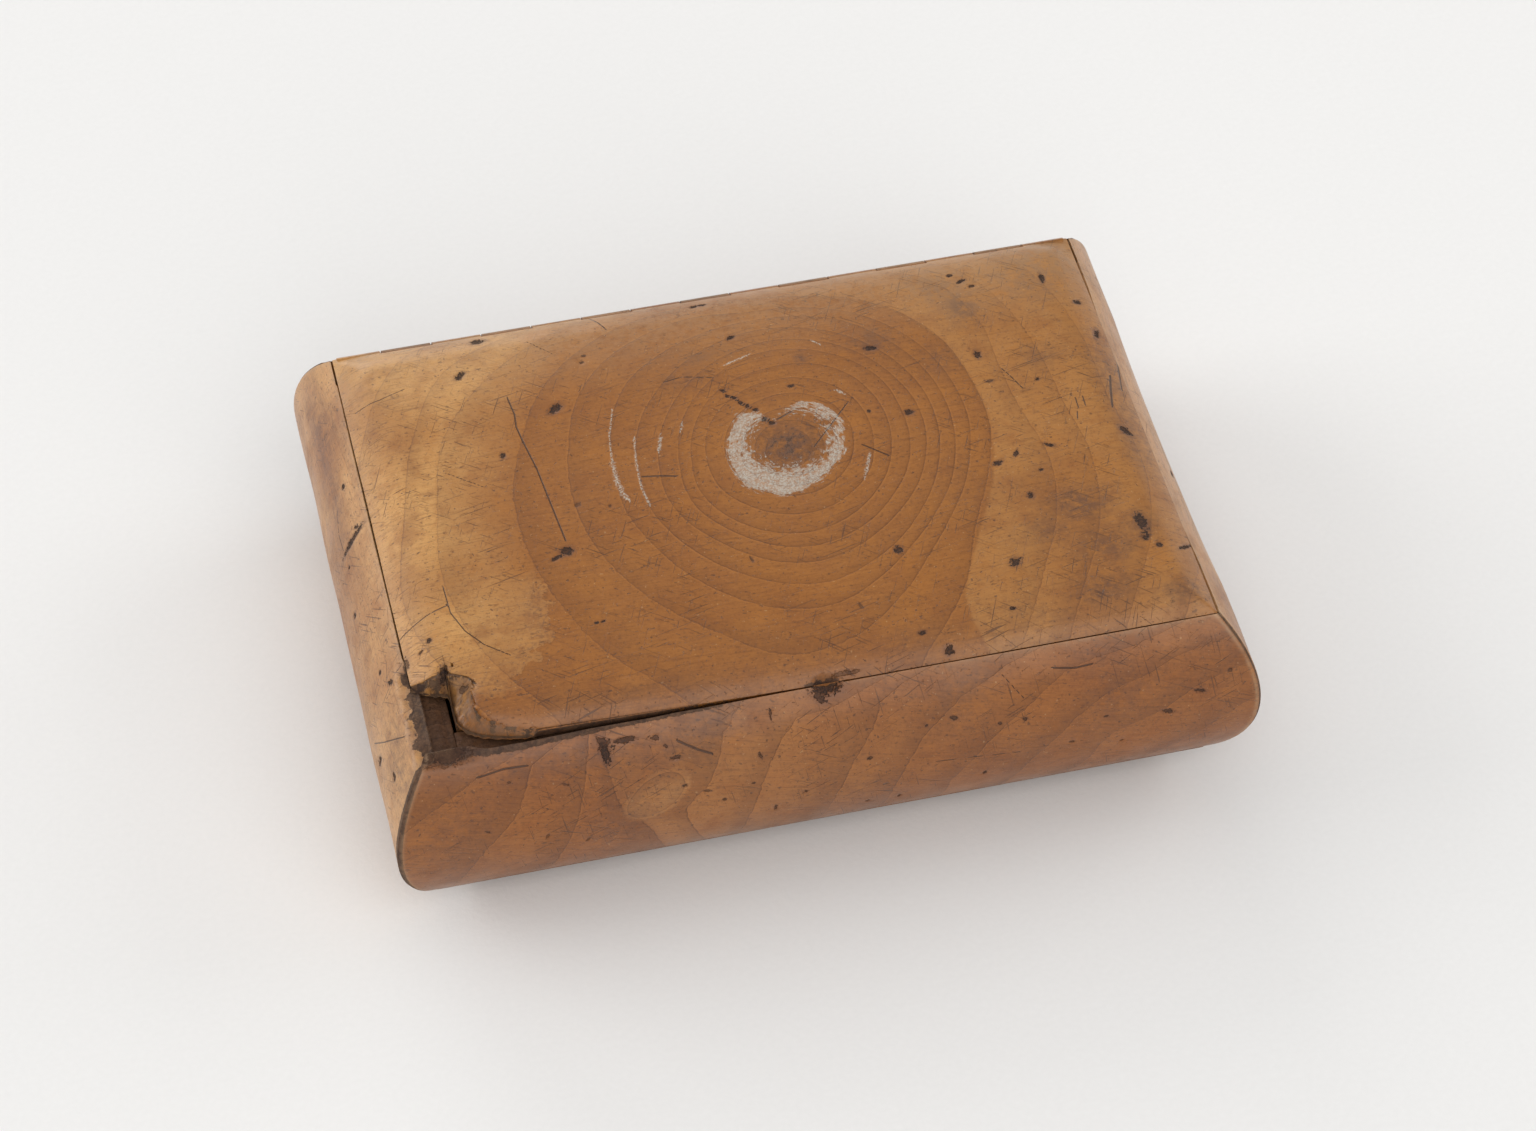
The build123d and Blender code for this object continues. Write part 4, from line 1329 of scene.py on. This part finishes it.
left_edge = [(-4, 32), (-9.1, 27.2), (-16.4, 23.8), (-21.9, 18.9), (-25.3, 12.9), (-27.6, 6.2),
             (-28.8, 2.4), (-29, -5.5), (-28.3, -10.8), (-27.3, -13.5), (-29, -17), (-29.5, -20.2),
             (-31, -22), (-33, -24.3), (-35, -25.9), (-39, -26.3), (-52, -27)]
right_edge = [(19.5, -34), (17.4, -27), (17.5, -23.5), (19, -20), (21.5, -15), (25, -8), (26.5, -3),
              (27.3, 2.4), (26.9, 8.7), (25.4, 15), (21.8, 20.7), (16.4, 24.8), (10, 26.7), (3, 34)]
left_sap = -path_place(x, y, left_edge)[0]
right_sap = -path_place(x, y, right_edge)[0]
in_sap = np.maximum(left_sap, right_sap)
rag = unit((-9 - y) / 3) * unit((-20 - x) / 5)
pale = unit(0.05 + 0.36 * rag + 0.105 * left_sap * (1 - 0.45 * rag))
pale = np.where(x < 0, pale, 0.32)

chalk_angle = np.radians([-180, -169, -144, -125, -105.5, -81, -44, -20, 5, 26, 41.6, 53.7, 73.6, 88,
                          96, 102, 107, 124, 141.6, 167, 180])
chalk_reach = np.array([7.2, 7.3, 7.8, 7.5, 7.5, 6.5, 6.0, 6.9, 7.1, 8.1, 8.4, 8.4, 7.1, 5.6,
                        5.1, 5.4, 6.7, 8.0, 7.4, 7.1, 7.2])
chalk_outer = np.interp(angle, chalk_angle, chalk_reach)
core_angle = np.radians([-180, -150, -110, -60, -20, 0, 40, 70, 110, 150, 180])
core_reach = np.array([3.6, 3.0, 2.6, 3.0, 3.4, 3.8, 5.0, 5.4, 5.2, 4.6, 3.6])
chalk_inner = np.interp(angle, core_angle, core_reach)
chalk = np.minimum((chalk_outer - radius) / 0.45, (radius - chalk_inner) / 1.3)
lower_half = unit((knot[1] + 1.0 - y) / 3)
chalk = np.maximum(chalk, np.where(radius < chalk_inner, -1.9 + 1.6 * lower_half, -9))
chalk = np.clip(chalk, -4.0, 1.7) - 0.5 * unit(np.cos(angle - 0.3))
paint(lid, "chalk", np.where(on_top, chalk, -4.0))

# Smoke stains on the lid, and three long bands along the front shoulder, at (-14, -29.5), (20, -28.5) and
# (-6, -24.5), which are painted shade that darkens the shoulder facing the front
smoke_and_shade_spots = [
    (29, 20.5, 2.4, 3.2, 0.75), (34.5, -13.5, 4.0, 2.6, 0.8), (29, -16.5, 4.5, 2.4, 0.5),
    (35.5, -20, 3.8, 2.8, 0.6), (33.5, -26, 4.0, 2.5, 0.65), (36, 10, 2.6, 2.4, 0.45),
    (-30.5, -15, 1.6, 2.4, 0.22), (42, -28, 4.0, 1.8, 0.7), (3.8, 2.4, 4.0, 3.6, 0.95),
    (-14, -29.5, 22, 2.6, 0.26), (20, -28.5, 20, 3.0, 0.20), (-6, -24.5, 16, 2.5, 0.16),
    (38, 24, 6.0, 4.5, 0.5), (-6, 16, 4.0, 1.6, 0.45), (8.4, 16.2, 1.0, 0.8, 0.8),
    (27, 24, 4.0, 3.0, 0.5), (43.5, 0, 2.0, 14.0, 0.4), (17, 17, 3.0, 2.0, 0.4),
    (24, 12, 2.0, 3.0, 0.35), (-3, 19, 4.0, 1.5, 0.35), (40, -18, 3.0, 3.0, 0.5),
]
stain_and_shade = np.zeros(x.shape)
for centre_x, centre_y, reach_x, reach_y, strength in smoke_and_shade_spots:
    spread = ((x - centre_x) / reach_x) ** 2 + ((y - centre_y) / reach_y) ** 2
    stain_and_shade = np.maximum(stain_and_shade, strength * np.exp(-spread))
stain_and_shade = unit(stain_and_shade + 0.16 * unit(x / 30 + 0.3) * (waves(x, y, 16, 71) + 0.3))

from_edge = np.minimum(lid_half_length - np.abs(x), lid_half_width - np.abs(y))
edge_dirt = np.exp(-np.clip(from_edge, 0, None) / 0.30) * np.where(y > 20, 0.1, 0.3)
front_strip = np.exp(-((y + 28.6) / 1.1) ** 2) * unit(1 - np.abs(x + 23) / 9) * 0.35
in_corner, signed, plain = beside_break(x, y)
broken = np.where(in_corner & (signed < 0), 1.0, 0.0)
torn_dirt = 0.28 + 0.30 * waves(x, y, 1.6, 73) + (x < corner_x + 4.3) * 0.22
break_dirt_and_shade = broken * np.clip(torn_dirt, 0, 0.8)
# A thin dark line along the break's upper outline: partly dirt, partly painted shade of the crevice
break_dirt_and_shade = break_dirt_and_shade + np.where(in_corner, 0.30 * np.exp(-((plain / 0.18) ** 2)), 0)
knot_dirt = 0.44 * np.exp(-(((x - 3.8) / 3.8) ** 4) - ((y - 2.8) / 3.4) ** 4)
pry_dirt = unit(1.36 - np.hypot((x + 0.3) / 2.0, (y + 30.9) / 0.9))
grime_and_shade = unit(edge_dirt + front_strip + break_dirt_and_shade + knot_dirt + pry_dirt)
on_panel_face = flat[:, 2] < upper_seam - seat_depth - 0.8
outer_barrel = (y > hinge_y + 0.5) & (flat[:, 2] > hinge_z - 1.5)
near_break = unit(1 - np.hypot(x - corner_x, y - corner_y) / 45)
panel_dirt = 0.24 + 0.12 * waves(x, y, 18, 74)
# The lid's rims, bevels and front edge face are painted dark as painted shade, darkest towards the broken
# corner where the lifted lid leaves a gap. The panel's face and the back keep plain dirt
panel_dirt_and_edge_shade = np.where(on_panel_face | (y > 26), panel_dirt, 0.35 + 0.8 * near_break)
grime_and_shade = np.where(on_top, grime_and_shade, np.where(outer_barrel, 0.08, unit(panel_dirt_and_edge_shade)))
show = 0.85 + 0.15 * np.cos(angle + math.radians(95))
show = show * np.clip(radius / 5, 0.3, 1) * np.where(in_sap > 0.3, 0.75, 1.0) * (1 - broken)
show = np.where(on_top, show, 0.4)
paint(lid, "round", coords(radius, np.cos(angle) * 15.0, np.sin(angle) * 15.0))
# The fibres part round the knot like water round a post of 6 mm radius
parted = dy * (1 - 36.0 / np.maximum(radius**2, 45.0))
grain = coords(x, parted, np.where(on_top, 0.0, 5.0))
plain_paint(
    lid, ring, gap, grain, sap=np.where(on_top | outer_barrel, in_sap, -3), pale=pale, rag=rag, show=show,
    stain_and_shade=np.where(on_top, np.maximum(stain_and_shade, broken * 0.7), 0.4 + 0.3 * waves(x, y, 22, 75)),
    # On the top, the wear attribute grows towards the back edge: painted sheen, a lighter back of the lid
    # in place of the light it reflects
    grime_and_shade=grime_and_shade, wear_and_sheen=broken * 0.12 + np.where(on_top, 0.44 * unit((y - 15) / 12) ** 1.3, 0),
    face=coords(x, y, 0.0),
)
lid_wood = yew(
    "lid_yew", (0.300, 0.112, 0.021, 1), (0.58, 0.305, 0.098, 1), (0.112, 0.036, 0.009, 1),
    marks=True, chalk=True, contrast=1.15,
)
fit(lid, lid_wood, "lid", "lid_wood", "lid")
